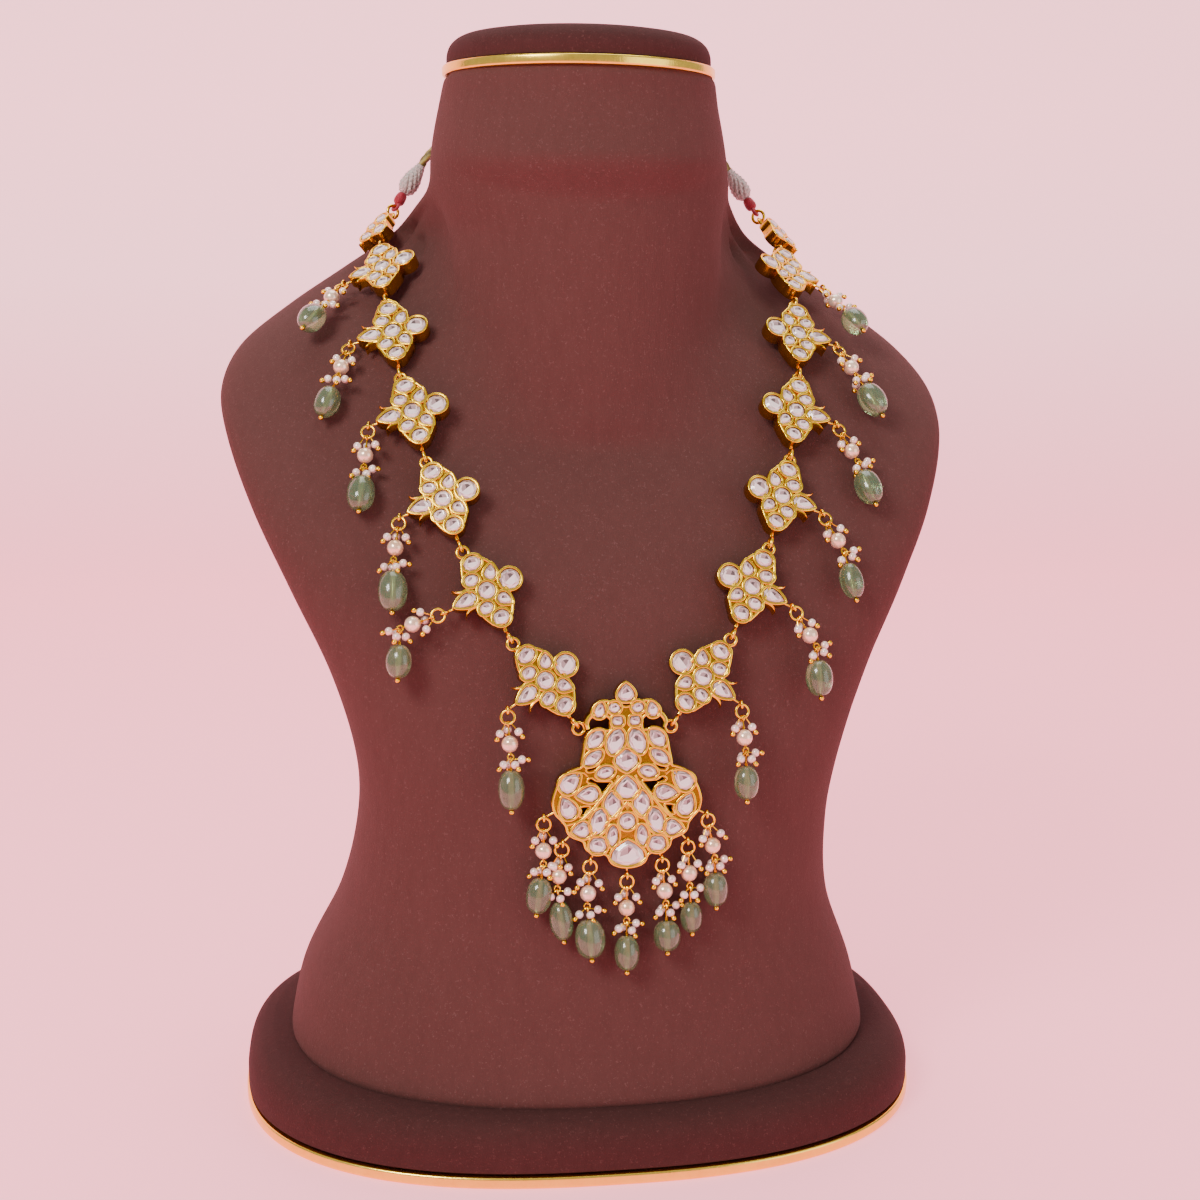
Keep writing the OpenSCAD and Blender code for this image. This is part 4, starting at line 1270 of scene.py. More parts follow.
@dataclass(frozen=True)
class Stone:
    """One stone of a setting, in millimetres, lying along y before its turn in degrees."""

    cut: Cut
    x: float
    y: float
    length: float
    width: float
    turn: float

    def outline(self, count: int) -> Array:
        """Return the outline at its place, with count points from its upper end.

        At the angle t the point is (w/2 sin t, l/2 cos t), each raised to 2 / power with its sign
        kept. A drop narrows to its tip by |sin(t / 2)| ** 0.9, a leaf to both by |sin t| ** 0.25.

        Args:
            count: how many points.

        Returns:
            Rows of x and y.
        """
        t = -angles(240)
        w, l = self.width / 2, self.length / 2
        if self.cut is Cut.DROP:
            flat = np.column_stack([w * np.sin(t) * np.abs(np.sin(t / 2)) ** 0.9 / 0.79, l * np.cos(t)])
        elif self.cut is Cut.LEAF:
            flat = np.column_stack([w * np.sin(t) * np.abs(np.sin(t)) ** 0.25, l * np.cos(t)])
        else:
            power = 2 / self.cut.value
            flat = np.column_stack([w * signed_power(np.sin(t), power), l * signed_power(np.cos(t), power)])
        a = math.radians(self.turn)
        turn = np.array([[math.cos(a), math.sin(a)], [-math.sin(a), math.cos(a)]])
        return evened(flat, count) @ turn + [self.x, self.y]

    def mirrored(self) -> "Stone":
        """Return the stone on the other side of the y axis."""
        return Stone(self.cut, -self.x, self.y, self.length, self.width, -self.turn)


def stones_of(size: float, rows: Sequence[tuple]) -> tuple[Stone, ...]:
    """Return stones from rows of cut, x, y, length, width and turn, where lengths are shares of size."""
    return tuple(Stone(r[0], r[1] * size, r[2] * size, r[3] * size, r[4] * size, r[5]) for r in rows)


@dataclass
class Goldwork:
    """How a gold setting is made up: the plate, the strips round its stones and the stones' cut."""

    plate_t: float = 5.0
    pocket_h: float = 1.4
    rim_w: float = 0.7
    stone_gap: float = 0.12
    stone_up: float = 0.5
    table_share: float = 0.68
    girdle_depth: float = 0.3
    loop_r: float = 1.95
    loop_wire: float = 1.2
    loop_rise: float = 0.45
    stem_w: float = 1.6
    eye_r: float = 1.25
    eye_wire: float = 0.9
    strip_w: float = 0.9
    strip_foot: float = 0.28
    strip_h: float = 0.44
    ground_drop: float = 0.7

    @property
    def rim(self) -> float:
        """Return how far the setting reaches past its stones."""
        return self.rim_w + self.stone_gap

    @property
    def loop_z(self) -> float:
        """Return the height of the loops above the back of the plate."""
        return self.loop_wire / 2 + self.loop_rise

    def walled(self, outline: Array, rows: Array) -> Shape:
        """Return the closed surface whose ring for the row (o, z, tone) is the outline moved out by o.

        Args:
            outline: rows of x and y.
            rows: distance out, height and tone of each ring.

        Returns:
            The closed shape.
        """
        n = outward(outline)
        flat = outline[None] + rows[:, None, :1] * n[None]
        height = np.broadcast_to(rows[:, None, 1:2], flat.shape[:2] + (1,))
        return lofted(np.concatenate([flat, height], -1), tones=(rows[:-1, 2] + rows[1:, 2]) / 2)

    def cup(self, stone: Stone, count: int = 34) -> Shape:
        """Return the gold round one stone: outer wall, rounded strip, inner wall and bed.

        Args:
            stone: what it holds.
            count: points round it.

        Returns:
            The closed shape.
        """
        inner, outer = self.stone_gap, self.stone_gap + self.strip_w
        a = np.radians(np.linspace(0, 180, 8))
        middle, half = (inner + outer) / 2, (outer - inner) / 2
        high = self.plate_t - self.strip_foot + self.strip_h * np.sin(a) ** 0.6
        # Painted shade: tone highest on the strip's top, lower at its feet and outer wall, 0 on the bed.
        strip = np.column_stack([middle + half * signed_power(np.cos(a), 0.7), high, 0.8 + 0.2 * np.sin(a)])
        strip[0, 2], strip[-1, 2] = 0.4, 0.2
        outside = np.array([[outer - 0.12, 0.25, 0.3], [outer, 0.5, 0.3], [outer, 2.6, 0.3],
                            [outer, self.plate_t - 0.5, 0.4]])
        bed = np.array([[inner, self.plate_t - self.pocket_h, 0.0]])
        return self.walled(stone.outline(count), np.vstack([outside, strip, bed]))

    def ground(self, outline: Array, count: int = 110) -> Shape:
        """Return the plate under the strips: full walls, a raised border and a sunk middle.

        Args:
            outline: the stones' outer edge.
            count: points round it.

        Returns:
            The closed shape.
        """
        ring = evened(curved(outline, 8), count)
        top = self.plate_t - self.strip_foot
        a = np.radians(np.linspace(0, 180, 8))
        # Painted shade: tone low on the walls, lowest on the sunk middle, highest on the border's top.
        border = np.column_stack([0.32 + 0.5 * np.cos(a), top + 0.4 * np.sin(a), 0.75 + 0.25 * np.sin(a)])
        sunk = [[-0.18, self.plate_t - self.ground_drop, 0.1], [-0.6, self.plate_t - self.ground_drop, 0.2]]
        rows = np.vstack([[[self.rim - 0.2, 0, 0.3], [self.rim, 0.3, 0.3], [self.rim, 2.5, 0.3],
                           [self.rim, top - 0.1, 0.45]], border, sunk])
        return self.walled(ring, rows)

    def bar(self, path: Array, half: Array, low: float, high: float, steps: int = 6) -> Shape:
        """Return a rounded bar along a flat path.

        The cross-section is a superellipse of power 3, h(s) to each side of the path and from
        low to high, so the point is p + h c(v) n and the height is the middle plus half the
        height times s(v).

        Args:
            path: rows of x and y.
            half: half the width at each row.
            low: lowest height.
            high: greatest height.
            steps: points for each stretch of the path.

        Returns:
            The closed shape.
        """
        line = curved(np.column_stack([path, half]), steps, closed=False)
        way = unit(np.gradient(line[:, :2], axis=0))
        side = np.column_stack([way[:, 1], -way[:, 0]])
        v = angles(12)
        across, up = signed_power(np.cos(v), 2 / 3), signed_power(np.sin(v), 2 / 3)
        flat = line[:, None, :2] - line[:, 2][:, None, None] * across[None, :, None] * side[:, None]
        level = (low + high) / 2 + (high - low) / 2 * up
        height = np.broadcast_to(level[None, :, None], flat.shape[:2] + (1,))
        return lofted(np.concatenate([flat, height], -1)[:, ::-1]).tagged(tone=0.85)

    def crown(self, stone: Stone, rng: Random, count: int = 10) -> Shape:
        """Return a stone: wall, two rows of crown facets and a table over its foil.

        Each facet is flat and keeps a tone, which paints the foil's reflection. Facets that face up
        the piece are painted greyer, those that face down flash white, neighbours alternate, and a
        dark painted reflection, the kite, lies in the middle.

        Args:
            stone: its cut, size and place.
            rng: source of the small differences.
            count: facets round it.

        Returns:
            The stone.
        """
        outline = stone.outline(count)
        middle = np.array([stone.x, stone.y])
        base = self.plate_t - self.pocket_h + self.stone_gap
        top = self.plate_t + self.stone_up
        rows = np.array([[1, base], [1, self.plate_t - self.girdle_depth], [0.84, top - 0.3],
                         [self.table_share, top], [0.5, top - 0.06]])
        flat = middle + rows[:, None, :1] * (outline - middle)[None]
        flat[2] = middle + 0.84 * ((outline + np.roll(outline, -1, 0)) / 2 - middle)
        rings = np.concatenate([flat, np.broadcast_to(rows[:, None, 1:2], flat.shape[:2] + (1,))], -1)
        shape = lofted(rings)
        reach = (outline + np.roll(outline, -1, 0)) / 2 - middle
        up = reach[:, 1] / np.linalg.norm(reach, axis=1)
        flip = np.where(np.arange(count) % 2 == 0, 1.0, -1.0)
        chance = rng.uniform(-1, 1, (5, count))
        # Painted reflections: facets that face up the piece are darker, and neighbours alternate.
        tones = np.stack([
            np.full(count, 0.35),
            0.60 - 0.2 * up + 0.12 * flip + 0.16 * chance[1],
            0.66 - 0.26 * up - 0.2 * flip + 0.2 * chance[2],
            0.86 - 0.3 * up + 0.1 * flip + 0.2 * chance[3, 0]])
        tilt = 0.35 * np.sign(chance[4, 0]) * reach[:, 0] / np.linalg.norm(reach, axis=1)
        # Painted reflection: the middle kite is dark where it faces up, white where it faces down.
        kite = np.where(up + tilt > 0.1, 0.08 + 0.3 * (tilt > 0), 0.92)
        shape.quad_tags[:, 1] = np.clip(tones.ravel(), 0, 1)
        shape.tri_tags[:, 1] = np.clip(np.concatenate([np.full(count, 0.3), kite]), 0, 1)
        shape.quad_tags[:, 2] = 0
        shape.tri_tags[:, 2] = 0
        return shape

    def eye(self, seat: Seat, root: Array, angle: float) -> Shape:
        """Return an upright wire eye with its stem.

        Args:
            seat: axes of the plate with the eye's middle as origin.
            root: where the stem starts in the plate, from the eye's middle, along the plate's axes.
            angle: direction in the plate's plane in which the drop hangs, in radians.

        Returns:
            The shape in the model's axes.
        """
        way = np.array([math.cos(angle), math.sin(angle), 0.0])
        ring = Seat(way, UP, np.cross(way, UP), np.zeros(3))
        start = unit(root) * (self.eye_r - 0.1)
        path = start + np.linspace(0, 1, 6)[:, None] * (root - start)
        radius = self.eye_wire / 2 * np.array([0.75, 0.8, 0.85, 0.95, 1.1, 1.3])
        stem = tube(path, radius[:, None] * np.ones(10), 10, UP)
        return joined([wire_ring(self.eye_r, self.eye_wire, 24).on(ring), stem.tagged(tone=0.8)]).on(seat)


@dataclass
class Places:
    """Where the necklace's parts lie: the seats of links and pendant and the line of every drop."""

    gold: Goldwork
    link_l: float = 26.0
    pendant_l: float = 62.0
    necklace_x: float = 6.5
    pendant_z: float = 133.5
    pendant_fwd: float = 70.6
    pendant_lean: float = 8.0
    loop_stand: float = 0.45
    eye_stand: float = 1.55
    link_play: float = 0.35
    drop_stand: float = 1.35
    wing: float = 0.44
    end_top: float = 0.352
    end_foot: float = 0.1
    ear: float = 0.25
    chain: Array = table([
        [15.5, 69, 148.5], [37, 62, 176.5], [52.5, 48.5, 205], [63.5, 30.5, 233], [71, 10, 259.5],
        [75, -14.5, 285], [76, -44.5, 305], [72.5, -62, 318]])
    turns: Array = table([
        [-4, 17], [3, 24], [10, 30], [11, 36], [18, 44], [38, 52], [60, 50]])

    def half(self, row: Array) -> Array:
        """Return a place of the half necklace from x, distance forward and height."""
        return np.array([row[0], -row[1], row[2]])

    @property
    def pendant(self) -> Seat:
        """Return the pendant's seat before it is carried beside the middle.

        Returns:
            The seat.
        """
        a = math.radians(self.pendant_lean)
        return Seat(RIGHT, np.array([0, math.sin(a), math.cos(a)]), facing(0, self.pendant_lean),
                    np.array([0, -self.pendant_fwd, self.pendant_z]))

    def loop_at(self, edge: float) -> float:
        """Return how far a loop's middle lies past the edge of its plate."""
        return edge + self.gold.loop_r + self.gold.loop_wire / 2 + self.loop_stand

    def eye_at(self, edge: float) -> float:
        """Return how far a lower eye's middle lies past the edge of its plate."""
        return edge + self.gold.loop_r + self.gold.loop_wire / 2 + self.eye_stand

    @property
    def pendant_loop(self) -> Array:
        """Return the middle of the pendant's loop along its own axes."""
        return np.array([self.ear * self.pendant_l, self.ear * self.pendant_l, self.gold.loop_z])

    @property
    def drop_eye(self) -> Array:
        """Return the middle of a link's drop eye along the link's axes.

        Returns:
            The place.
        """
        g = self.gold
        reach = self.wing * self.link_l + g.rim + self.drop_stand + g.eye_r + g.eye_wire / 2
        return np.array([reach, 0, g.plate_t / 2])

    def links(self) -> list[Seat]:
        """Return the seats of the six links from the pendant up, and of the end piece.

        Each hangs its eye in the loop below, and points along the chain's route.

        Returns:
            Seven seats.
        """
        seats: list[Seat] = []
        step = 2 * self.gold.loop_r - self.gold.loop_wire - self.link_play
        start = self.pendant.carry(self.pendant_loop)
        for i in range(7):
            y = unit(self.half(self.chain[i + 1]) - self.half(self.chain[i]))
            z = flat_on(facing(*self.turns[i]), y)
            bottom = self.end_foot * self.link_l if i == 6 else self.link_l / 2
            origin = start + (step + self.eye_at(bottom)) * y - self.gold.loop_z * z
            seats.append(Seat(np.cross(y, z), y, z, origin))
            start = seats[-1].carry(np.array([0, self.loop_at(self.link_l / 2), self.gold.loop_z]))
        return seats

    def world(self, side: int, p: Array) -> Array:
        """Return a place of the half necklace on one side of the real one."""
        return np.array([self.necklace_x + side * p[0], p[1], p[2]])


# Short names of the cuts for the tables of stones

O, Z, Q, S, D, F = Cut.OVAL, Cut.LOZENGE, Cut.CUSHION, Cut.SQUARE, Cut.DROP, Cut.LEAF


@dataclass
class ChainSide:
    """The six links and the end piece of one side, with their stones and loops."""

    side: int
    places: Places
    gold: Goldwork
    stones: tuple[Stone, ...] = stones_of(26.0, [
        (O, -.02, 0, .22, .22, 0), (O, -.35, 0, .265, .265, 0), (O, -.02, .405, .19, .235, 0),
        (O, -.02, -.4, .2, .215, 0), (D, -.175, .2, .2, .15, 34), (D, -.175, -.205, .2, .15, 146),
        (O, .095, .205, .15, .19, 8), (O, .095, -.205, .15, .19, -8), (D, .29, 0, .3, .175, -90)])
    end_stones: tuple[Stone, ...] = stones_of(26.0, [
        (O, 0, 0, .2, .2, 0), (O, .01, .265, .175, .185, 0), (O, .16, .16, .125, .125, 0),
        (O, .225, -.035, .16, .19, 30)])
    body: Array = table([
        [-.25, 0], [-.25, .15], [-.245, .24], [-.19, .35], [-.12, .43], [0, .465],
        [.09, .44], [.125, .38], [.158, .3], [.18, .2], [.18, 0]], 26.0)
    thorn: Array = table([
        [.17, .125], [.22, .124], [.27, .124], [.318, .137], [.355, .162], [.383, .202]], 26.0)
    thorn_half: Array = table([.75, .74, .66, .52, .34, .08])
    end_body: Array = table([
        [-.06, 0], [0, -.06], [.2, -.09], [.27, -.03], [.2, .17], [.06, .3], [-.05, .29], [-.06, .14]], 26.0)
    end_thorn: Array = table([
        [.22, -.11], [.262, -.122], [.3, -.138], [.322, -.158], [.334, -.187]], 26.0)
    end_thorn_half: Array = table([.6, .52, .46, .3, .08])
    root: float = 0.5

    def loops(self, top_edge: float, bottom_edge: float) -> Shape:
        """Return the flat loop above a plate and the upright eye below it, each on its stem.

        Args:
            top_edge: height of the plate's upper end.
            bottom_edge: depth of its lower end.

        Returns:
            The shape in the plate's axes.
        """
        g = self.gold
        up, down = self.places.loop_at(top_edge), -self.places.eye_at(bottom_edge)
        z = g.loop_z
        flat = Seat(RIGHT, BACK, UP, np.array([0, up, z]))
        upright = Seat(-UP, BACK, RIGHT, np.array([0, down, z]))
        ring = wire_ring(g.loop_r, g.loop_wire, 32, 12)
        half = g.loop_wire / 2 - 0.08
        stem = g.bar(np.array([[0, top_edge - self.root], [0, up - g.loop_r + 0.15]]),
                     np.array([g.stem_w / 2, g.stem_w / 2 - 0.1]), z - half, z + half)
        lower = g.bar(np.array([[0, down + g.loop_r - 0.15], [0, -bottom_edge + self.root]]),
                      np.array([half, half + 0.25]), z - half, z + half)
        return joined([ring.on(flat), ring.on(upright), stem, lower])

    def link(self, seat: Seat, angle: float) -> Shape:
        """Return one link's gold along its seat, with its drop eye turned to the angle.

        Args:
            seat: the link's axes.
            angle: direction of its drop in the plane of the plate.

        Returns:
            The shape in the half necklace's axes.
        """
        g = self.gold
        outline = np.vstack([self.body, (self.body * [1, -1])[-2:0:-1]])[::-1]
        claws = [g.bar(self.thorn * [1, s], self.thorn_half, 0.6, g.plate_t + 0.02) for s in (1, -1)]
        parts = [g.ground(outline), *(g.cup(s) for s in self.stones), *claws,
                 self.loops(self.places.link_l / 2, self.places.link_l / 2)]
        eye = self.places.drop_eye
        root = np.array([self.places.wing * self.places.link_l - eye[0] + 0.3, 0, 0])
        eyes = g.eye(seat.moved(*eye), root, angle)
        return joined([*(p.on(seat) for p in parts), eyes])

    def end(self, seat: Seat) -> Shape:
        """Return the end piece's gold along its seat.

        Args:
            seat: the end piece's axes.

        Returns:
            The shape in the half necklace's axes.
        """
        g, p = self.gold, self.places
        parts = [g.ground(self.end_body), *(g.cup(s) for s in self.end_stones),
                 g.bar(self.end_thorn, self.end_thorn_half, 0.6, g.plate_t + 0.02),
                 self.loops(p.end_top * p.link_l, p.end_foot * p.link_l)]
        return joined([p.on(seat) for p in parts])

    def build(self, finishes: "Finishes", drops: "Drops") -> None:
        """Make the side's gold and stones and dress them.

        Args:
            finishes: the model's materials.
            drops: the drops, which say how each eye is turned.
        """
        word = "left" if self.side < 0 else "right"
        seats = self.places.links()
        links = [self.link(seat, drops.eye_angle(self.side, i)) for i, seat in enumerate(seats[:6])]
        gold = joined([*links, self.end(seats[6])]).sided(self.side, self.places.necklace_x)
        names = [f"motif_{word}_{i}" for i in range(1, 7)] + [f"end_piece_{word}"]
        put(f"gold_links_{word}", gold, [finishes.gold], names)
        rng = np.random.default_rng(20 + self.side)
        cut = [self.gold.crown(s, rng).on(seat) for seat in seats[:6] for s in self.stones]
        cut += [self.gold.crown(s, rng).on(seats[6]) for s in self.end_stones]
        stones = joined(cut).sided(self.side, self.places.necklace_x)
        put(f"cut_stones_{word}", stones, [finishes.stone], [f"stones_{word}"], Seen.CREASED)


@dataclass
class Pendant:
    """The openwork pendant: a pierced plate, strips, scrolls, thirty-five stones and its eyes."""

    places: Places
    gold: Goldwork
    middle: tuple[tuple, ...] = (
        (D, 0, .444, .092, .09, 0), (Z, 0, .08, .117, .13, 0), (D, 0, -.064, .12, .124, 0),
        (O, 0, -.247, .087, .087, 0), (D, 0, -.417, .136, .186, 0))
    half_side: tuple[tuple, ...] = (
        (D, .143, .353, .082, .062, 15), (O, .063, .364, .057, .062, 0), (S, .047, .292, .046, .056, 0),
        (F, .058, .182, .14, .09, 20), (F, .167, .197, .115, .075, 38), (F, .18, .097, .115, .062, 52),
        (F, .116, .018, .096, .062, 75), (D, .303, -.03, .13, .094, 48), (D, .214, -.098, .12, .082, -95),
        (D, .323, -.165, .124, .088, -25), (Z, .079, -.153, .136, .094, -3), (F, .155, -.247, .142, .084, 14),
        (D, .252, -.288, .094, .084, -98), (F, .08, -.323, .112, .058, 5), (Q, .16, -.372, .084, .092, 0))
    body: Array = table([
        [0, -.485], [.055, -.473], [.09, -.448], [.112, -.42], [.15, -.408], [.19, -.405],
        [.22, -.385], [.235, -.345], [.29, -.32], [.316, -.297], [.325, -.262], [.35, -.228],
        [.38, -.195], [.393, -.15], [.39, -.11], [.373, -.062], [.347, -.015], [.315, .015],
        [.275, .032], [.24, .045], [.235, .08], [.224, .135], [.215, .19], [.2, .218],
        [.175, .237], [.14, .242], [.085, .24], [.08, .3], [.11, .33], [.16, .34],
        [.165, .37], [.14, .39], [.104, .393], [.06, .38], [0, .36]], 62.0)
    gaps: list[Array] = field(default_factory=lambda: [62.0 * np.array(g) for g in (
        [[.085, -.036], [.125, -.034], [.165, -.03], [.195, -.012], [.212, -.028], [.168, -.044],
         [.146, -.07], [.135, -.098]],
        [[.205, -.164], [.25, -.167], [.244, -.188], [.255, -.212], [.23, -.205]],
        [[.152, .06], [.185, .044], [.217, .036], [.205, .024], [.172, .032]])])
    arm: Array = table([
        [.165, .335], [.18, .33], [.195, .318], [.208, .3], [.213, .278], [.206, .252]], 62.0)
    bands: list[Array] = field(default_factory=lambda: [62.0 * np.array(b) for b in (
        [[.043, 0], [.074, -.047], [.141, -.127], [.22, -.2126], [.27, -.243], [.33, -.258]],
        [[0, -.145], [.035, -.18], [.107, -.249], [.202, -.329]],
        [[.052, -.012], [.085, -.058], [.149, -.139], [.214, -.226]],
        [[.21, .0], [.235, .02], [.262, .02], [.27, .0], [.255, -.01]])])
    eyes: Array = table([
        [-.445, -.221], [-.346, -.361], [-.197, -.459], [0, -.545], [.191, -.462], [.334, -.371],
        [.44, -.229]], 62.0)
    eye_z: float = 2.2
    eye_root_share: float = 0.84

    @property
    def stones(self) -> tuple[Stone, ...]:
        """Return the stones in millimetres, with the side ones mirrored."""
        side = stones_of(self.places.pendant_l, self.half_side)
        return stones_of(self.places.pendant_l, self.middle) + side + tuple(s.mirrored() for s in side)

    @property
    def outline(self) -> Array:
        """Return the plate's whole edge, counterclockwise from its foot."""
        return np.vstack([self.body, (self.body * [-1, 1])[-2:0:-1]])

    def pierced(self) -> Shape:
        """Return the sunk plate with its open gaps.

        A flat filled curve gives the outline and the gaps their faces, which are then read as
        triangles.

        Returns:
            The shape in the pendant's axes.
        """
        outline = self.outline
        lines = [outline + (self.gold.rim - 0.25) * outward(outline)]
        for gap in self.gaps:
            lines += [gap, gap * [-1, 1]]
        curve = bpy.data.curves.new("pierced plate", "CURVE")
        curve.dimensions = "2D"
        curve.fill_mode = "BOTH"
        thick = self.gold.plate_t - self.gold.ground_drop
        curve.extrude = (thick - 0.1) / 2 - 0.2
        curve.bevel_depth = 0.2
        for line in lines:
            spline = curve.splines.new("POLY")
            spline.points.add(len(line) - 1)
            places = np.column_stack([line, np.zeros(len(line)), np.ones(len(line))])
            spline.points.foreach_set("co", places.ravel())
            spline.use_cyclic_u = True
        holder = bpy.data.objects.new("pierced plate", curve)
        mesh = bpy.data.meshes.new_from_object(holder)
        mesh.calc_loop_triangles()
        points = np.empty(len(mesh.vertices) * 3)
        mesh.vertices.foreach_get("co", points)
        tris = np.empty(len(mesh.loop_triangles) * 3, np.int32)
        mesh.loop_triangles.foreach_get("vertices", tris)
        bpy.data.objects.remove(holder)
        bpy.data.curves.remove(curve)
        bpy.data.meshes.remove(mesh)
        points, tris = points.reshape(-1, 3) + [0, 0, (thick - 0.1) / 2 + 0.1], tris.reshape(-1, 3)
        # Painted shade: the sunk plate's top gets a low tone, its edges a little higher.
        high = points[tris][:, :, 2].min(1) > thick - 0.25
        rows = np.column_stack([np.zeros(len(tris)), np.where(high, 0.1, 0.35), np.zeros(len(tris))])
        return Shape(points, np.zeros((0, 4), int), tris, tags(0), rows)

    def strips(self) -> list[Shape]:
        """Return the raised border, the borders of the gaps, the bands, the arms and the scrolls.

        Returns:
            The parts.
        """
        g = self.gold
        ring = evened(curved(self.outline, 6), 420)
        border = rounded_box(-0.1, g.rim, 0.2, g.plate_t + 0.12, 0.42, 5)
        parts = [swept(ring, border)]
        for gap in self.gaps:
            edge = evened(curved(gap, 5), 70)
            area = np.sum(edge[:, 0] * np.roll(edge[:, 1], -1) - np.roll(edge[:, 0], -1) * edge[:, 1])
            edge = edge if area > 0 else edge[::-1]
            lip = swept(edge, rounded_box(-0.08, 0.6, 0.15, g.plate_t + 0.02, 0.3, 4))
            parts += [lip, lip.sided(-1, 0)]
        low, high = g.plate_t - g.ground_drop - 0.3, g.plate_t + 0.14
        for k, band in enumerate(self.bands):
            bar = g.bar(band, np.full(len(band), 0.5 if k < 2 else 0.38), low, high)
            parts += [bar, bar.sided(-1, 0)]
        arm = g.bar(self.arm, np.array([1.1, 1.15, 1.15, 1.1, 1.0, 0.8]), 0.2, g.plate_t + 0.1)
        return parts + [arm, arm.sided(-1, 0)]

    def peak(self) -> Shape:
        """Return the small three-sided peak of gold above the round stone.

        Returns:
            The closed shape.
        """
        size = self.places.pendant_l
        base = np.array([[0, -.2], [-.028, -.158], [.028, -.158]]) * size
        ring = evened(base[::-1] if np.cross(base[1] - base[0], base[2] - base[0]) < 0 else base, 24)
        # Painted shade: the peak's lower walls get a lower tone than its top.
        rows = np.array([[0, 3.6, 0.3], [0, 4.6, 0.8], [-0.3, 5.0, 1.0]])
        return self.gold.walled(ring, rows)

    def build(self, finishes: "Finishes") -> None:
        """Make the pendant's gold and stones and dress them.

        Args:
            finishes: the model's materials.
        """
        g, seat, middle = self.gold, self.places.pendant, self.places.necklace_x
        loops = []
        for s in (-1, 1):
            at = self.places.pendant_loop * [s, 1, 1]
            loops.append(wire_ring(g.loop_r, g.loop_wire, 32, 12).on(Seat(RIGHT, BACK, UP, at)))
        parts = [self.pierced(), *self.strips(), self.peak(), *(g.cup(s) for s in self.stones), *loops]
        gold = [p.on(seat) for p in parts]
        for x, y in self.eyes:
            root = np.array([(self.eye_root_share - 1) * x, (self.eye_root_share - 1) * y, 0])
            gold.append(g.eye(seat.moved(x, y, self.eye_z), root, -math.pi / 2))
        put("pendant_gold", joined(gold).sided(1, middle), [finishes.gold], ["pendant_setting"])
        rng = np.random.default_rng(7)
        cut = joined([g.crown(s, rng).on(seat) for s in self.stones]).sided(1, middle)
        put("pendant_cut_stones", cut, [finishes.stone], ["pendant_stones"], Seen.CREASED)


@dataclass(frozen=True)
class Drop:
    """The places along one drop and the directions of its ring, pearl pin and bead pin."""

    ring: Array
    loop_a: Array
    pearl: Array
    loop_b: Array
    loop_c: Array
    bead: Array
    tip: Array
    out: Array
    ring_way: Array
    pearl_way: Array
    bead_way: Array
    width: float
    length: float


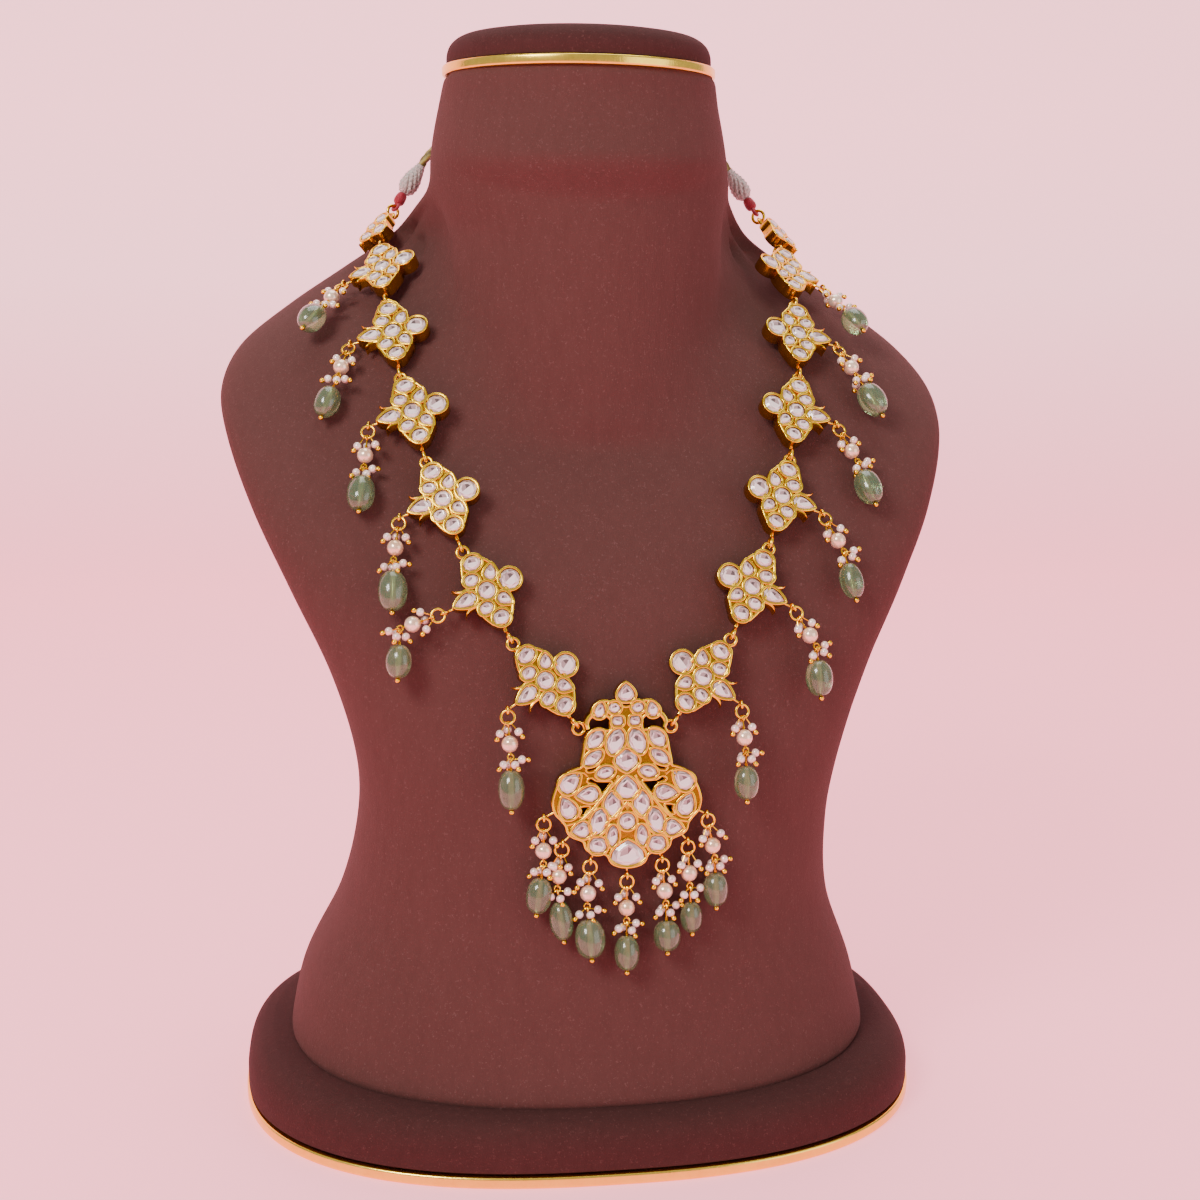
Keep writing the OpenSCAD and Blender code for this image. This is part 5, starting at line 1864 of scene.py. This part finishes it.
@dataclass
class Drops:
    """Jump rings, pearls, green beads and seed pearls that hang from the links and the pendant."""

    bust: NeckBust
    places: Places
    pendant: Pendant
    ring_r: float = 2.25
    ring_wire: float = 0.9
    pin_loop_r: float = 0.95
    pin_wire: float = 0.6
    pin_neck: float = 0.5
    pin_play: float = 0.2
    pearl_d: float = 5.6
    bead_w: float = 9.2
    bead_l: float = 12.0
    tip_d: float = 1.8
    pearl_reach: float = 8.8
    bead_reach: float = 15.1
    velvet_gap: float = 1.2
    pin_gap: float = 0.15
    seed_d: float = 2.9
    seed_stray: float = 0.35
    rows: dict = field(default_factory=lambda: {
        -1: [(-44, -44, 1.05, .97), (-23, -23, 1, .93), (-8, -6, 1.07, 1.07), (-10, -3, 1.1, 1.12),
             (-72, -4, .97, .91), (3, 0, .98, 1.07)],
        1: [(30, 30, 1.05, .95), (28, 28, 1.1, 1.05), (28, 14, 1.05, 1.06), (28, 10, .92, 1.02),
            (31, 4, 1.03, 1), (4, 1, .92, .93)],
        0: [(-1, -8, .95, .97), (-7, 7, .88, 1.05), (-4.5, 4, 1.12, 1.05), (-.6, -.9, .95, .95),
            (5, .4, 1.02, .84), (2.6, 3, .84, .84), (10.5, 2, .95, .94)]})

    def hang(self, n: Array, swing: float) -> Array:
        """Return the downward direction that the front view shows at the angle swing.

        Where the surface, which faces n, falls back below, the direction is free of it, and
        otherwise it lies in the surface.

        Args:
            n: direction that the surface faces.
            swing: degrees to the right of straight down.

        Returns:
            The direction.
        """
        s = math.radians(swing)
        free = np.array([math.sin(s), 0.0, -math.cos(s)])
        if free @ n > 0:
            return free
        return unit(np.array([free[0], (-free[2] * n[2] - free[0] * n[0]) / n[1], free[2]]))

    def resting(self, p: Array, h: float) -> Array:
        """Return p, moved out of the velvet only where it is nearer to it than h."""
        near = self.bust.outside(p) < h * np.linalg.norm(self.bust.steepness(p))
        return self.bust.seated(p, h) if near else p

    def line(self, eye: Array, row: tuple) -> Drop:
        """Return one drop from its eye and its row of swings and shares.

        Args:
            eye: what it hangs on.
            row: swings of ring and bead, shares of the bead's width and length.

        Returns:
            The drop.
        """
        n0 = unit(self.bust.steepness(eye))
        d0 = self.hang(n0, row[0])
        ring = eye + self.ring_r * d0
        loop_a = ring + self.ring_r * d0
        sag = self.pearl_reach - self.ring_r
        d1 = unit(self.resting(loop_a + sag * d0, self.pearl_d / 2 + self.velvet_gap) - loop_a)
        pearl = loop_a + sag * d1
        below = self.pearl_d / 2 + self.pin_neck + self.pin_loop_r
        loop_b = pearl + below * d1
        step = 2 * self.pin_loop_r - self.pin_wire - self.pin_play
        n1 = unit(self.bust.steepness(loop_b))
        reach = self.bead_reach - below
        hung = loop_b + reach * self.hang(n1, row[1])
        d2 = unit(self.resting(hung, row[2] * self.bead_w / 2 + self.velvet_gap) - loop_b)
        bead = loop_b + reach * d2
        tip = bead + (row[3] * self.bead_l / 2 + self.tip_d / 2) * d2
        loop_c = loop_b + step * d2
        return Drop(ring, loop_a, pearl, loop_b, loop_c, bead, tip, n0, d0, d1, d2, row[2], row[3])

    def link_eye(self, side: int, i: int) -> Array:
        """Return the eye of link i, counted from the pendant."""
        return self.places.world(side, self.places.links()[i].carry(self.places.drop_eye))

    def eye_angle(self, side: int, i: int) -> float:
        """Return the direction of link i's drop in the plane of its plate, in radians.

        Args:
            side: -1 or 1.
            i: number of the link, from 0 at the pendant.

        Returns:
            The angle.
        """
        seat, eye = self.places.links()[i], self.link_eye(side, i)
        d = self.hang(unit(self.bust.steepness(eye)), self.rows[side][5 - i][0]) * [side, 1, 1]
        return math.atan2(d @ seat.y, d @ seat.x)

    def lines(self, side: int) -> list[Drop]:
        """Return the drops of a side from the top down, or of the pendant from left to right.

        Args:
            side: -1, 1, or 0 for the pendant.

        Returns:
            The drops.
        """
        if side:
            return [self.line(self.link_eye(side, 5 - i), row) for i, row in enumerate(self.rows[side])]
        eyes = [self.places.world(1, self.places.pendant.carry(np.array([x, y, self.pendant.eye_z])))
                for x, y in self.pendant.eyes]
        return [self.line(eye, row) for eye, row in zip(eyes, self.rows[0])]

    def stem(self, start: float, end: float) -> Shape:
        """Return a pin's straight wire between two distances along it."""
        return tube(np.linspace([0, 0, start], [0, 0, end], 3), 0.45 * self.pin_wire, 8, RIGHT)

    def loosened(self, rows: Sequence, rng: Random) -> Array:
        """Return seed places moved by small random steps."""
        return np.array(rows) + rng.uniform(-self.seed_stray, self.seed_stray, (len(rows), 3))

    def wires(self, drop: Drop) -> Shape:
        """Return the jump ring, the two pins with their loops and wound necks, and the tip ball.

        Args:
            drop: its places and directions.

        Returns:
            The shape.
        """
        ring = wire_ring(self.ring_r, self.ring_wire, 32, 10)
        loop = wire_ring(self.pin_loop_r, self.pin_wire, 20, 8)
        x, y, z = np.eye(3)
        upright = Seat(x, z, -y, np.zeros(3))
        pearl_pin = aimed(drop.loop_a, drop.pearl_way, drop.out)
        bead_pin = aimed(drop.loop_c, drop.bead_way, drop.out)
        long1 = np.linalg.norm(drop.loop_b - drop.loop_a)
        long2 = np.linalg.norm(drop.tip - drop.loop_c)
        to_pearl = np.linalg.norm(drop.pearl - drop.loop_a)
        wound = coil(0.42, 0.26, 3, 0.3)
        top, low = self.pin_loop_r, to_pearl - self.pearl_d / 2
        first = [loop.on(upright), loop.on(Seat(y, z, x, z * long1)), self.stem(top, long1 - self.pin_loop_r),
                 wound.on(Seat(x, y, z, z * (low - 0.95))),
                 wound.on(Seat(x, y, z, z * (to_pearl + self.pearl_d / 2 + 0.02)))]
        neck = long2 - self.tip_d / 2 - drop.length * self.bead_l - 1.0
        second = [loop.on(upright), self.stem(self.pin_loop_r, long2),
                  wound.on(Seat(x, y, z, z * max(neck, 1.2))),
                  ball(self.tip_d, 14, 8).tagged(tone=0.7).on(Seat(x, y, z, z * long2))]
        return joined([ring.on(aimed(drop.ring, flat_on(drop.out, drop.ring_way), drop.ring_way)),
                       *(s.on(pearl_pin) for s in first), *(s.on(bead_pin) for s in second)])

    def pearl(self, drop: Drop, rng: Random) -> Shape:
        """Return the pearl, a ball with a small bore on the pin, a little uneven from turn to turn.

        Args:
            drop: its places and directions.
            rng: source of the small differences.

        Returns:
            The pearl.
        """
        bore = self.pin_wire / 2 + self.pin_gap
        first = math.degrees(math.asin(2 * bore / self.pearl_d))
        t = arc(-90 + first, 90 - first, 17)
        r = self.pearl_d / 2 * (1 - 0.012 * rng.uniform(0, 1))
        outer = r * np.column_stack([np.cos(t), np.sin(t)])
        shape = turned(np.vstack([[[bore * 0.9, -r * 0.9]], outer, [[bore * 0.9, r * 0.9]]]), 30)
        tone = 0.5 + 0.15 * rng.uniform(-1, 1)
        return shape.tagged(tone=tone).on(aimed(drop.pearl, drop.pearl_way, drop.out))

    def bead(self, drop: Drop, rng: Random) -> Shape:
        """Return a tumbled bead with its drill hole.

        The half profile is w/2 cos(t) ** 0.8 by l/2 sin(t) / sin 70, drawn in by up to three
        hundredths in two and in three lobes round the axis, so that it is never quite round.

        Args:
            drop: its places and directions.
            rng: source of the small differences.

        Returns:
            The bead, whose bore has the second finish.
        """
        w, l = drop.width * self.bead_w, drop.length * self.bead_l
        hole = self.pin_wire / 2 + self.pin_gap
        t = arc(-70, 70, 22)
        high = 0.97 * l / 2 * np.sin(t) / math.sin(math.radians(70))
        skin = np.column_stack([w / 2 * np.cos(t) ** 0.8, high])
        soft = curved(np.vstack([[[hole, -l / 2], [hole + 0.9, -l / 2 + 0.03]], skin,
                                 [[hole + 0.9, l / 2 - 0.03], [hole, l / 2]]]), 2, closed=False)
        shape = turned(soft, 36)
        a = np.arctan2(shape.points[:, 1], shape.points[:, 0])
        p = rng.uniform(0, 2 * np.pi, 2)
        lobes = 0.011 * (1 + np.cos(3 * a + p[1] + 0.4 * shape.points[:, 2]))
        dent = 1 - 0.017 * (1 + np.cos(2 * a + p[0])) - lobes
        shape.points[:, :2] *= dent[:, None]
        inside = np.array([[hole + 0.2, -l / 2 + 0.15], [hole + 0.28, 0], [hole + 0.2, l / 2 - 0.15]])
        bore = turned(inside, 14)
        seat = aimed(drop.bead, drop.bead_way, drop.out)
        return joined([shape.tagged(0, 0.5 + 0.3 * rng.uniform(-1, 1)), bore.tagged(1)]).on(seat)

    def settled(self, seeds: Array, keep_clear: list[tuple[Array, float]]) -> Array:
        """Return seed places pushed apart until they touch neither each other nor what is near.

        Args:
            seeds: rows of places in the drop's axes.
            keep_clear: places and the distance that a seed's middle keeps from each.

        Returns:
            The moved places.
        """
        for _ in range(40):
            apart = seeds[:, None] - seeds[None]
            far = np.linalg.norm(apart, axis=-1) + np.eye(len(seeds)) * 99
            push = np.maximum(self.seed_d * 1.02 - far, 0)
            seeds = seeds + 0.25 * np.sum(apart / far[..., None] * push[..., None], 1)
            for place, distance in keep_clear:
                off = seeds - place
                away = np.linalg.norm(off, axis=-1, keepdims=True)
                seeds = seeds + off / away * np.maximum(distance - away, 0) * 0.6
        return seeds

    def cluster(self, seat: Seat, hooks: Array, seeds: Array, rng: Random) -> tuple[Shape, Shape]:
        """Return seed pearls on their wires.

        Each wire starts in a small loop at its hook, runs through its seed and ends in a ball.

        Args:
            seat: the drop's axes, x out, y to the side and z down.
            hooks: where the loops hang, in those axes.
            seeds: where the seeds' middles are.
            rng: source of the small differences.

        Returns:
            The seeds, and the wires with their balls.
        """
        ways = unit(seeds - hooks)
        turns = [aimed(s, w, np.array([1.0, 0.1, 0.0])) for s, w in zip(seeds, ways)]
        t = arc(-76, 76, 7)
        seed = turned(self.seed_d / 2 * np.column_stack([np.cos(t) ** 0.8, 0.9 * np.sin(t)]), 12)
        balls = ball(self.tip_d * 1.04, 10, 6).tagged(tone=0.7)
        ends = [Seat(s.x, s.y, s.z, p + w * (self.seed_d * 0.45 + self.tip_d * 0.46))
                for s, p, w in zip(turns, seeds, ways)]
        loop = wire_ring(0.72, 0.4, 14, 6)
        hung = [Seat(RIGHT, flat_on(w, RIGHT), np.cross(RIGHT, flat_on(w, RIGHT)), h)
                for w, h in zip(ways, hooks)]
        beside = np.array([1.0, 0.2, 0.1])
        rods = [tube(np.linspace(h + 0.6 * w, p + w * self.seed_d * 0.5, 4), 0.2, 6, beside)
                for h, p, w in zip(hooks, seeds, ways)]
        skins = joined([seed.tagged(tone=0.5 + 0.3 * rng.uniform(-1, 1)).on(s) for s in turns])
        return skins.on(seat), joined([balls.copied(ends), loop.copied(hung), *rods]).on(seat)

    def clusters(self, drop: Drop, rng: Random) -> tuple[Shape, Shape]:
        """Return the seeds and wires round the top of the pearl and round the joint below it.

        Args:
            drop: its places and directions.
            rng: source of the small differences.

        Returns:
            The seeds, and the wires with their balls.
        """
        seat = aimed(drop.pearl, drop.pearl_way, drop.out)
        up = self.ring_r - self.pearl_reach
        clear = self.pearl_d / 2 + self.seed_d / 2 + 0.1
        upper = self.settled(self.loosened([[.7, -3.0, -3.5], [.6, 3.0, -3.6], [-1.7, .4, -4.5]], rng),
                             [(np.zeros(3), clear), (np.array([0, 0, -4.6]), 2.0)])
        hooks = np.array([[0, -.95, up - .3], [0, .95, up - .3], [-.2, .2, up]])
        first = self.cluster(seat, hooks, upper, rng)
        rows = [[.3, -3.3, 1.0], [1.3, -1.3, 2.9], [.8, 2.5, 2.7], [-1.9, .8, 2.4]]
        rows = rows[:3 + int(rng.uniform() < 0.6)]
        low_seat = aimed(drop.loop_b, unit(drop.pearl_way + drop.bead_way), drop.out)
        axes = (low_seat.x, low_seat.y, low_seat.z)
        bead, pearl = (np.array([(p - drop.loop_b) @ v for v in axes]) for p in (drop.bead, drop.pearl))
        reach = 0.5 * self.bead_l * drop.length + self.seed_d / 2
        lower = self.settled(self.loosened(rows, rng),
                             [(pearl, clear), (bead, reach - 0.55), (np.array([0, 0, 2.2]), 1.7)])
        hooks = np.array([[.1, -.7, .75], [.3, -.2, 1.0], [.2, .7, .8], [-.3, .2, .9]])[:len(rows)]
        second = self.cluster(low_seat, hooks, lower, rng)
        return joined([first[0], second[0]]), joined([first[1], second[1]])

    def build(self, finishes: "Finishes") -> None:
        """Make the drops of both sides and of the pendant and dress them.

        Args:
            finishes: the model's materials.
        """
        for side, word in ((-1, "left"), (1, "right"), (0, "pendant")):
            rng = np.random.default_rng(40 + side)
            drops = self.lines(side)
            put(f"hanging_wires_{word}", joined([self.wires(d) for d in drops]), [finishes.wire],
                [f"drop_rings_{word}", f"pearl_pins_{word}", f"bead_pins_{word}"])
            pearls = joined([self.pearl(d, rng) for d in drops])
            put(f"round_pearls_{word}", pearls, [finishes.pearl], [f"pearls_{word}"])
            beads = joined([self.bead(d, rng) for d in drops])
            put(f"green_beads_{word}", beads, [finishes.green, finishes.bore],
                [f"bead_{word}_{i + 1}" for i in range(len(drops))])
            pairs = [self.clusters(d, rng) for d in drops]
            put(f"seed_pearls_{word}", joined([p[0] for p in pairs]), [finishes.seed], [])
            put(f"seed_wires_{word}", joined([p[1] for p in pairs]), [finishes.wire], [])


@dataclass
class NeckCord:
    """Cord round the back of the neck, with its thread bundles, silk wrappings and gold rings."""

    places: Places
    gold: Goldwork
    ring_r: float = 2.4
    ring_wire: float = 1.2
    silk_r: float = 1.5
    silk_wire: float = 1.2
    wrap_d: float = 4.4
    wrap_l: float = 5.0
    bundle_d: float = 8.0
    bundle_l: float = 13.0
    cord_d: float = 3.2
    cord_play: float = 0.3
    cord_lay: float = 9.0
    winding: float = 0.42
    seam: float = 0.1
    wrap_aim: Array = table([67.5, 66, 327.5])
    bundle_aim: Array = table([60, 68, 339.0])
    route: Array = table([
        [55, 68.6, 345], [49.5, 69.4, 348.5], [43, 70, 351.5], [35.5, 70.4, 353.5],
        [27, 70.6, 355], [18, 70.6, 356], [9, 70.6, 356.5]])
    middle: Array = table([0, 70.6, 356.5])
    wrap_edge: Array = table([
        [0, 0], [.28, 0], [.46, .16], [.5, .45], [.44, .85], [.3, .98], [0, 1]])
    bundle_edge: Array = table([
        [.2, .06], [.4, .12], [.5, .3], [.46, .55], [.34, .8], [.24, 1]])

    def knots(self) -> dict[str, Array]:
        """Return the places along one half, from the end piece's loop to the end of the bundle.

        Returns:
            Places and directions by name.
        """
        g, seat = self.gold, self.places.links()[6]
        edge = self.places.end_top * self.places.link_l
        end = seat.carry(np.array([0, self.places.loop_at(edge), g.loop_z]))
        way = unit(self.wrap_aim - end)
        ring = end + (g.loop_r + self.ring_r - (g.loop_wire + self.ring_wire) / 2 - self.cord_play) * way
        step = self.ring_r + self.silk_r - (self.ring_wire + self.silk_wire) / 2 - self.cord_play
        silk = ring + step * way
        start = silk + self.silk_r * way
        top = start + self.wrap_l * way
        along = unit(self.bundle_aim - top)
        return {"way": way, "ring": ring, "silk": silk, "start": start, "top": top, "along": along,
                "end": top + self.bundle_l * along, "face": facing(60, 50)}

    def path(self) -> Array:
        """Return the cord's centreline from the left bundle to the right one.

        Returns:
            Rows of places.
        """
        k = self.knots()
        half = np.vstack([k["end"] + self.seam * k["along"], k["end"] + self.cord_d * k["along"], self.route])
        left = half * [-1, 1, 1]
        line = np.vstack([left, self.middle, half[::-1]]) + [self.places.necklace_x, 0, 0]
        return evened(curved(line, 8, closed=False), 300, closed=False)

    def cord(self) -> tuple[Shape, tuple[Array, Array]]:
        """Return the twisted cord and its UV map.

        Three plies wind round each other: at the angle v the radius is
        r (0.84 + 0.16 |cos(1.5 (v - twist))|), where twist grows by a turn every nine millimetres.

        Returns:
            The cord, and for each point its place round and along, in turns.
        """
        path = self.path()
        sides = 21
        walk = np.concatenate([[0], np.cumsum(np.linalg.norm(np.diff(path, axis=0), axis=1))])
        v = angles(sides)[None]
        twist = 2 * np.pi * walk[:, None] / self.cord_lay
        radius = self.cord_d / 2 * (0.84 + 0.16 * np.abs(np.cos(1.5 * (v - twist)))) * 0.99
        shape = tube(path, radius, sides, BACK)
        round_ = np.concatenate([(np.broadcast_to(v, radius.shape) / (2 * np.pi)).ravel(), [0, 0]])
        along = np.concatenate([np.repeat(walk, sides), [0, walk[-1]]]) / self.cord_lay
        return shape, (round_, along)

    def wrap(self) -> Shape:
        """Return the silk wrapping with its fine windings, and its loop.

        Returns:
            The wrapping along its seat's z.
        """
        edge = curved(self.wrap_edge * [self.wrap_d, self.wrap_l], 9, closed=False)
        edge[:, 0] = np.maximum(edge[:, 0], 0.02)
        ridge = 1 - 0.035 * (1 + np.cos(2 * np.pi * edge[:, 1] / self.winding))
        return turned(np.column_stack([edge[:, 0] * ridge, edge[:, 1]]), 28)

    def bundle(self, rng: Random, strands: int = 15, rim: int = 10) -> tuple[Shape, Array]:
        """Return a bundle of twisted threads that bellies out between its tied ends.

        Strand k winds round the bundle's axis by a third of a turn. Its distance from the axis is
        the bundle's half profile less the strand's own radius.

        Args:
            rng: source of the small differences.
            strands: how many there are.
            rim: how many of them lie outside.

        Returns:
            The bundle along its seat's z, and for each point its place along in turns.
        """
        s = np.linspace(0, 1, 26)
        edge = curved(self.bundle_edge * [self.bundle_d, self.bundle_l], 6, closed=False)
        level = (0.06 + 0.93 * s) * self.bundle_l
        reach = np.interp(level, edge[:, 1], edge[:, 0])
        parts, turns = [], []
        for k in range(strands):
            thick = rng.uniform(0.85, 1.15)
            share, count = (1.0, rim) if k < rim else (0.45, strands - rim)
            radius = np.minimum(thick, reach * 0.6)
            angle = 2 * np.pi * k / count + 0.7 * np.pi * s + rng.uniform(-0.2, 0.2)
            far = share * np.maximum(reach * (0.98 + rng.uniform(-0.03, 0)) - radius, 0.05)
            path = np.column_stack([far * np.cos(angle), far * np.sin(angle), level])
            v = angles(8)[None]
            lobes = 0.82 + 0.2 * np.cos(2 * (v - 2 * np.pi * s[:, None] * 4))
            parts.append(tube(path, radius[:, None] * lobes, 8, np.array([1.0, 0.1, 0])))
            turns.append(np.concatenate([np.repeat(s * 7, 8), [0, 7]]))
        return joined(parts), np.concatenate(turns)

    def build(self, finishes: "Finishes") -> None:
        """Make the cord and what is on it, and dress them.

        Args:
            finishes: the model's materials.
        """
        k = self.knots()
        x, y, z = np.eye(3)
        middle = self.places.necklace_x
        rng = np.random.default_rng(3)
        ring = wire_ring(self.ring_r, self.ring_wire, 36, 12).on(Seat(x, z, -y, np.zeros(3)))
        ring = ring.on(aimed(k["ring"], k["way"], k["face"]))
        put("cord_end_rings", joined([ring.sided(s, middle) for s in (-1, 1)]), [finishes.gold],
            ["cord_rings"])
        loop = wire_ring(self.silk_r, self.silk_wire, 24, 10).on(Seat(y, z, x, np.zeros(3)))
        loop = loop.on(aimed(k["silk"], k["way"], k["face"]))
        wrap = self.wrap().on(aimed(k["start"], k["way"], k["face"]))
        silk = joined([s.sided(side, middle) for side in (-1, 1) for s in (loop, wrap)])
        walk = silk.points[:, 2] / self.winding
        wraps = put("silk_wrappings", silk, [finishes.silk], ["silk_wraps"], uv=(walk * 0, walk))
        threads, turn = self.bundle(rng)
        threads = threads.on(aimed(k["top"], k["along"], k["face"]))
        both = joined([threads.sided(s, middle) for s in (-1, 1)])
        turn = np.concatenate([turn, turn])
        bundles = put("twisted_threads", both, [finishes.thread], ["thread_bundles"],
                      uv=(turn * 0, turn))
        shape, uv = self.cord()
        cord = put("olive_neck_cord", shape, [finishes.cord], ["neck_cord"], uv=uv)
        path = self.path()


@dataclass
class Finishes:
    """Every finish of the model as a material."""

    gold: Material = field(default_factory=Metal(
        "satin gold", (0.98, 0.63, 0.035), (0.42, 0.19, 0.006), (0.14, 0.28)).material)
    wire: Material = field(default_factory=Metal(
        "gold wire", (0.98, 0.62, 0.025), (0.5, 0.22, 0.005), (0.14, 0.28)).material)
    brass: Material = field(default_factory=Metal(
        "gold strip", (1.0, 0.70, 0.10), (0.6, 0.32, 0.02), (0.16, 0.28), 300.0).material)
    velvet: Material = field(default_factory=Velvet(
        "mauve brown velvet", (0.068, 0.026, 0.022), (0.114, 0.049, 0.044), (0.185, 0.10, 0.095)).material)
    dark_velvet: Material = field(default_factory=Velvet(
        "dark brown velvet", (0.036, 0.011, 0.010), (0.080, 0.028, 0.026), (0.15, 0.065, 0.06),
        0.45, 0.5).material)
    stone: Material = field(default_factory=FoiledStone(
        "foiled stone", (1.0, 0.91, 0.88), (0.50, 0.37, 0.36), (0.04, 0.025, 0.022)).material)
    pearl: Material = field(default_factory=Nacre(
        "cream pearl", (0.98, 0.78, 0.60), (0.88, 0.56, 0.32)).material)
    seed: Material = field(default_factory=Nacre(
        "seed pearl", (0.98, 0.85, 0.78), (0.88, 0.62, 0.54), 500.0, 0.3).material)
    green: Material = field(default_factory=GreenStone(
        "cloudy green stone", (0.31, 0.42, 0.22), (0.17, 0.27, 0.12)).material)
    bore: Material = field(default_factory=Nacre(
        "drill hole", (0.85, 0.72, 0.48), (0.6, 0.48, 0.3)).material)
    silk: Material = field(default_factory=Fibre(
        "red silk", (0.52, 0.02, 0.05), (0.19, 0.004, 0.012), 0.0, 1.0, 0.0, 0.5, 0.0001).material)
    thread: Material = field(default_factory=Fibre(
        "silver thread", (0.86, 0.80, 0.74), (0.36, 0.28, 0.25), 0.0, 6.0, 0.25, 0.4, 0.00015).material)
    cord: Material = field(default_factory=Fibre(
        "olive cord", (0.42, 0.36, 0.09), (0.11, 0.085, 0.015), 3.0, -1.0, 0.0, 0.5, 0.0003).material)


@dataclass
class Studio:
    """Pale floor that runs up into a pale wall, soft lights and the camera, in metres."""

    # Painted light: the one sheet is darker on the floor and paler up the wall.
    floor: Colour = (0.95, 0.34, 0.42)
    wall: Colour = (1.0, 0.54, 0.61)
    wall_rise: float = 0.3
    shine: float = 1.4
    focal_px: float = 1774.5
    frame_px: float = 1200.0
    distance: float = 0.642
    height: float = 0.2938
    beside: float = 0.0075
    yaw: float = 8.0
    pitch: float = 10.06
    roll: float = 0.48
    aim: float = 0.2

    def placed(self, name: str, data: bpy.types.ID, columns: Sequence[Array]) -> bpy.types.Object:
        """Put an object with its data into the scene.

        Args:
            name: the object's name.
            data: its light or camera.
            columns: its three axes and its place.

        Returns:
            The object.
        """
        thing = bpy.data.objects.new(name, data)
        matrix = Matrix.Identity(4)
        for k, column in enumerate(columns):
            matrix.col[k][:3] = column
        thing.matrix_world = matrix
        bpy.context.scene.collection.objects.link(thing)
        return thing

    def backdrop(self) -> None:
        """Make the floor and wall as one sheet whose profile turns up in a quarter circle."""
        t = arc(-90, 0, 20)
        back, radius, side = 1.1, 0.5, 3.0
        turn = np.column_stack([back + radius * np.cos(t), radius + radius * np.sin(t)])
        profile = np.vstack([[[-2.6, 0]], turn, [[back + radius, 2.6]]])
        profile[1:-1, 1] = np.maximum(profile[1:-1, 1], 0)
        x = np.linspace(-side, side, 9)
        points = np.stack(np.broadcast_arrays(x[None], profile[:, :1], profile[:, 1:]), -1).reshape(-1, 3)
        index = np.arange(len(points)).reshape(len(profile), 9)
        quads = np.stack([index[:-1, :-1], index[:-1, 1:], index[1:, 1:], index[1:, :-1]], -1).reshape(-1, 4)
        mesh = bpy.data.meshes.new("backdrop")
        mesh.from_pydata(points.tolist(), [], quads.tolist())
        mesh.polygons.foreach_set("use_smooth", np.ones(len(quads), bool))
        surface = new_surface("paper", Specular_IOR_Level=0.2, Emission_Strength=self.shine)
        g = surface.graph
        grain = surface.group(EFFECTS.grain, Scale=30.0, Fineness=9.0, Spread=0.6).outputs["Mask"]
        height = g.add("SeparateXYZ", Vector=surface.place).outputs[2]
        # Painted light: the colour, which the sheet also glows with, turns from darker floor to paler wall.
        plain = g.mixed(g.ranged(height, 0.0, self.wall_rise, 0.0, 1.0), self.floor, self.wall)
        pale = g.mixed(g.maths("MULTIPLY", grain, 0.1), plain, self.wall)
        surface.feed("Base Color", pale)
        surface.feed("Emission Color", pale)
        surface.feed("Roughness", g.ranged(grain, 0.0, 1.0, 0.75, 0.9))
        mesh.materials.append(surface.material)
        sheet = bpy.data.objects.new("backdrop", mesh)
        bpy.context.scene.collection.objects.link(sheet)

    def light(self, name: str, at: Sequence[float], size: float, watts: float,
              colour: Colour = (1.0, 1.0, 1.0)) -> None:
        """Make a square soft light that faces the middle of the necklace.

        Args:
            name: the light's name.
            at: its place.
            size: the length of its side.
            watts: its power.
            colour: its colour.
        """
        data = bpy.data.lights.new(name, "AREA")
        data.size, data.energy, data.color = size, watts, colour
        back = unit(np.array(at) - self.aim * UP)
        across = flat_on(np.array([1.0, 0.2, 0.0]), back)
        self.placed(name, data, (across, np.cross(back, across), back, np.array(at)))

    def camera(self) -> None:
        """Make the camera from its yaw, pitch and roll about the bust."""
        yaw, pitch, roll = np.radians([self.yaw, self.pitch, self.roll])
        right = np.array([np.cos(yaw), -np.sin(yaw), 0.0])
        ahead = np.array([np.sin(yaw) * np.cos(pitch), np.cos(yaw) * np.cos(pitch), -np.sin(pitch)])
        up = np.cross(right, ahead)
        at = np.array([-np.sin(yaw) * self.distance, -np.cos(yaw) * self.distance, self.height])
        columns = (right * np.cos(roll) + up * np.sin(roll), up * np.cos(roll) - right * np.sin(roll), -ahead,
                   at + right * self.beside)
        data = bpy.data.cameras.new("view")
        data.sensor_width = 36.0
        data.sensor_fit = "HORIZONTAL"
        data.lens = data.sensor_width * self.focal_px / self.frame_px
        data.clip_start = 0.01
        bpy.context.scene.camera = self.placed("view", data, columns)

    def build(self) -> None:
        """Make the camera, the backdrop, the lights and the pale surroundings."""
        self.camera()
        self.backdrop()
        self.light("key", (-0.75, -0.85, 1.05), 0.5, 17.0, (1.0, 0.97, 0.94))
        self.light("fill", (1.1, -0.9, 0.5), 1.0, 6.0, (1.0, 0.96, 0.96))
        self.light("top", (0.1, 0.35, 1.5), 0.9, 9.0)
        world = bpy.data.worlds.new("pale room")
        world.use_nodes = True
        world.node_tree.nodes["Background"].inputs[0].default_value = (1.0, 0.95, 0.95, 1.0)
        world.node_tree.nodes["Background"].inputs[1].default_value = 0.55
        bpy.context.scene.world = world


def main() -> None:
    """Build the studio, the bust and the necklace."""
    logging.basicConfig(level=logging.INFO, format="%(name)s: %(message)s")
    Studio().build()
    finishes = Finishes()
    bust, gold = NeckBust(), Goldwork()
    places = Places(gold)
    pendant = Pendant(places, gold)
    drops = Drops(bust, places, pendant)
    NeckCord(places, gold).build(finishes)
    bust.build(finishes)
    for side in (-1, 1):
        ChainSide(side, places, gold).build(finishes, drops)
    pendant.build(finishes)
    drops.build(finishes)


if __name__ == "__main__":
    main()
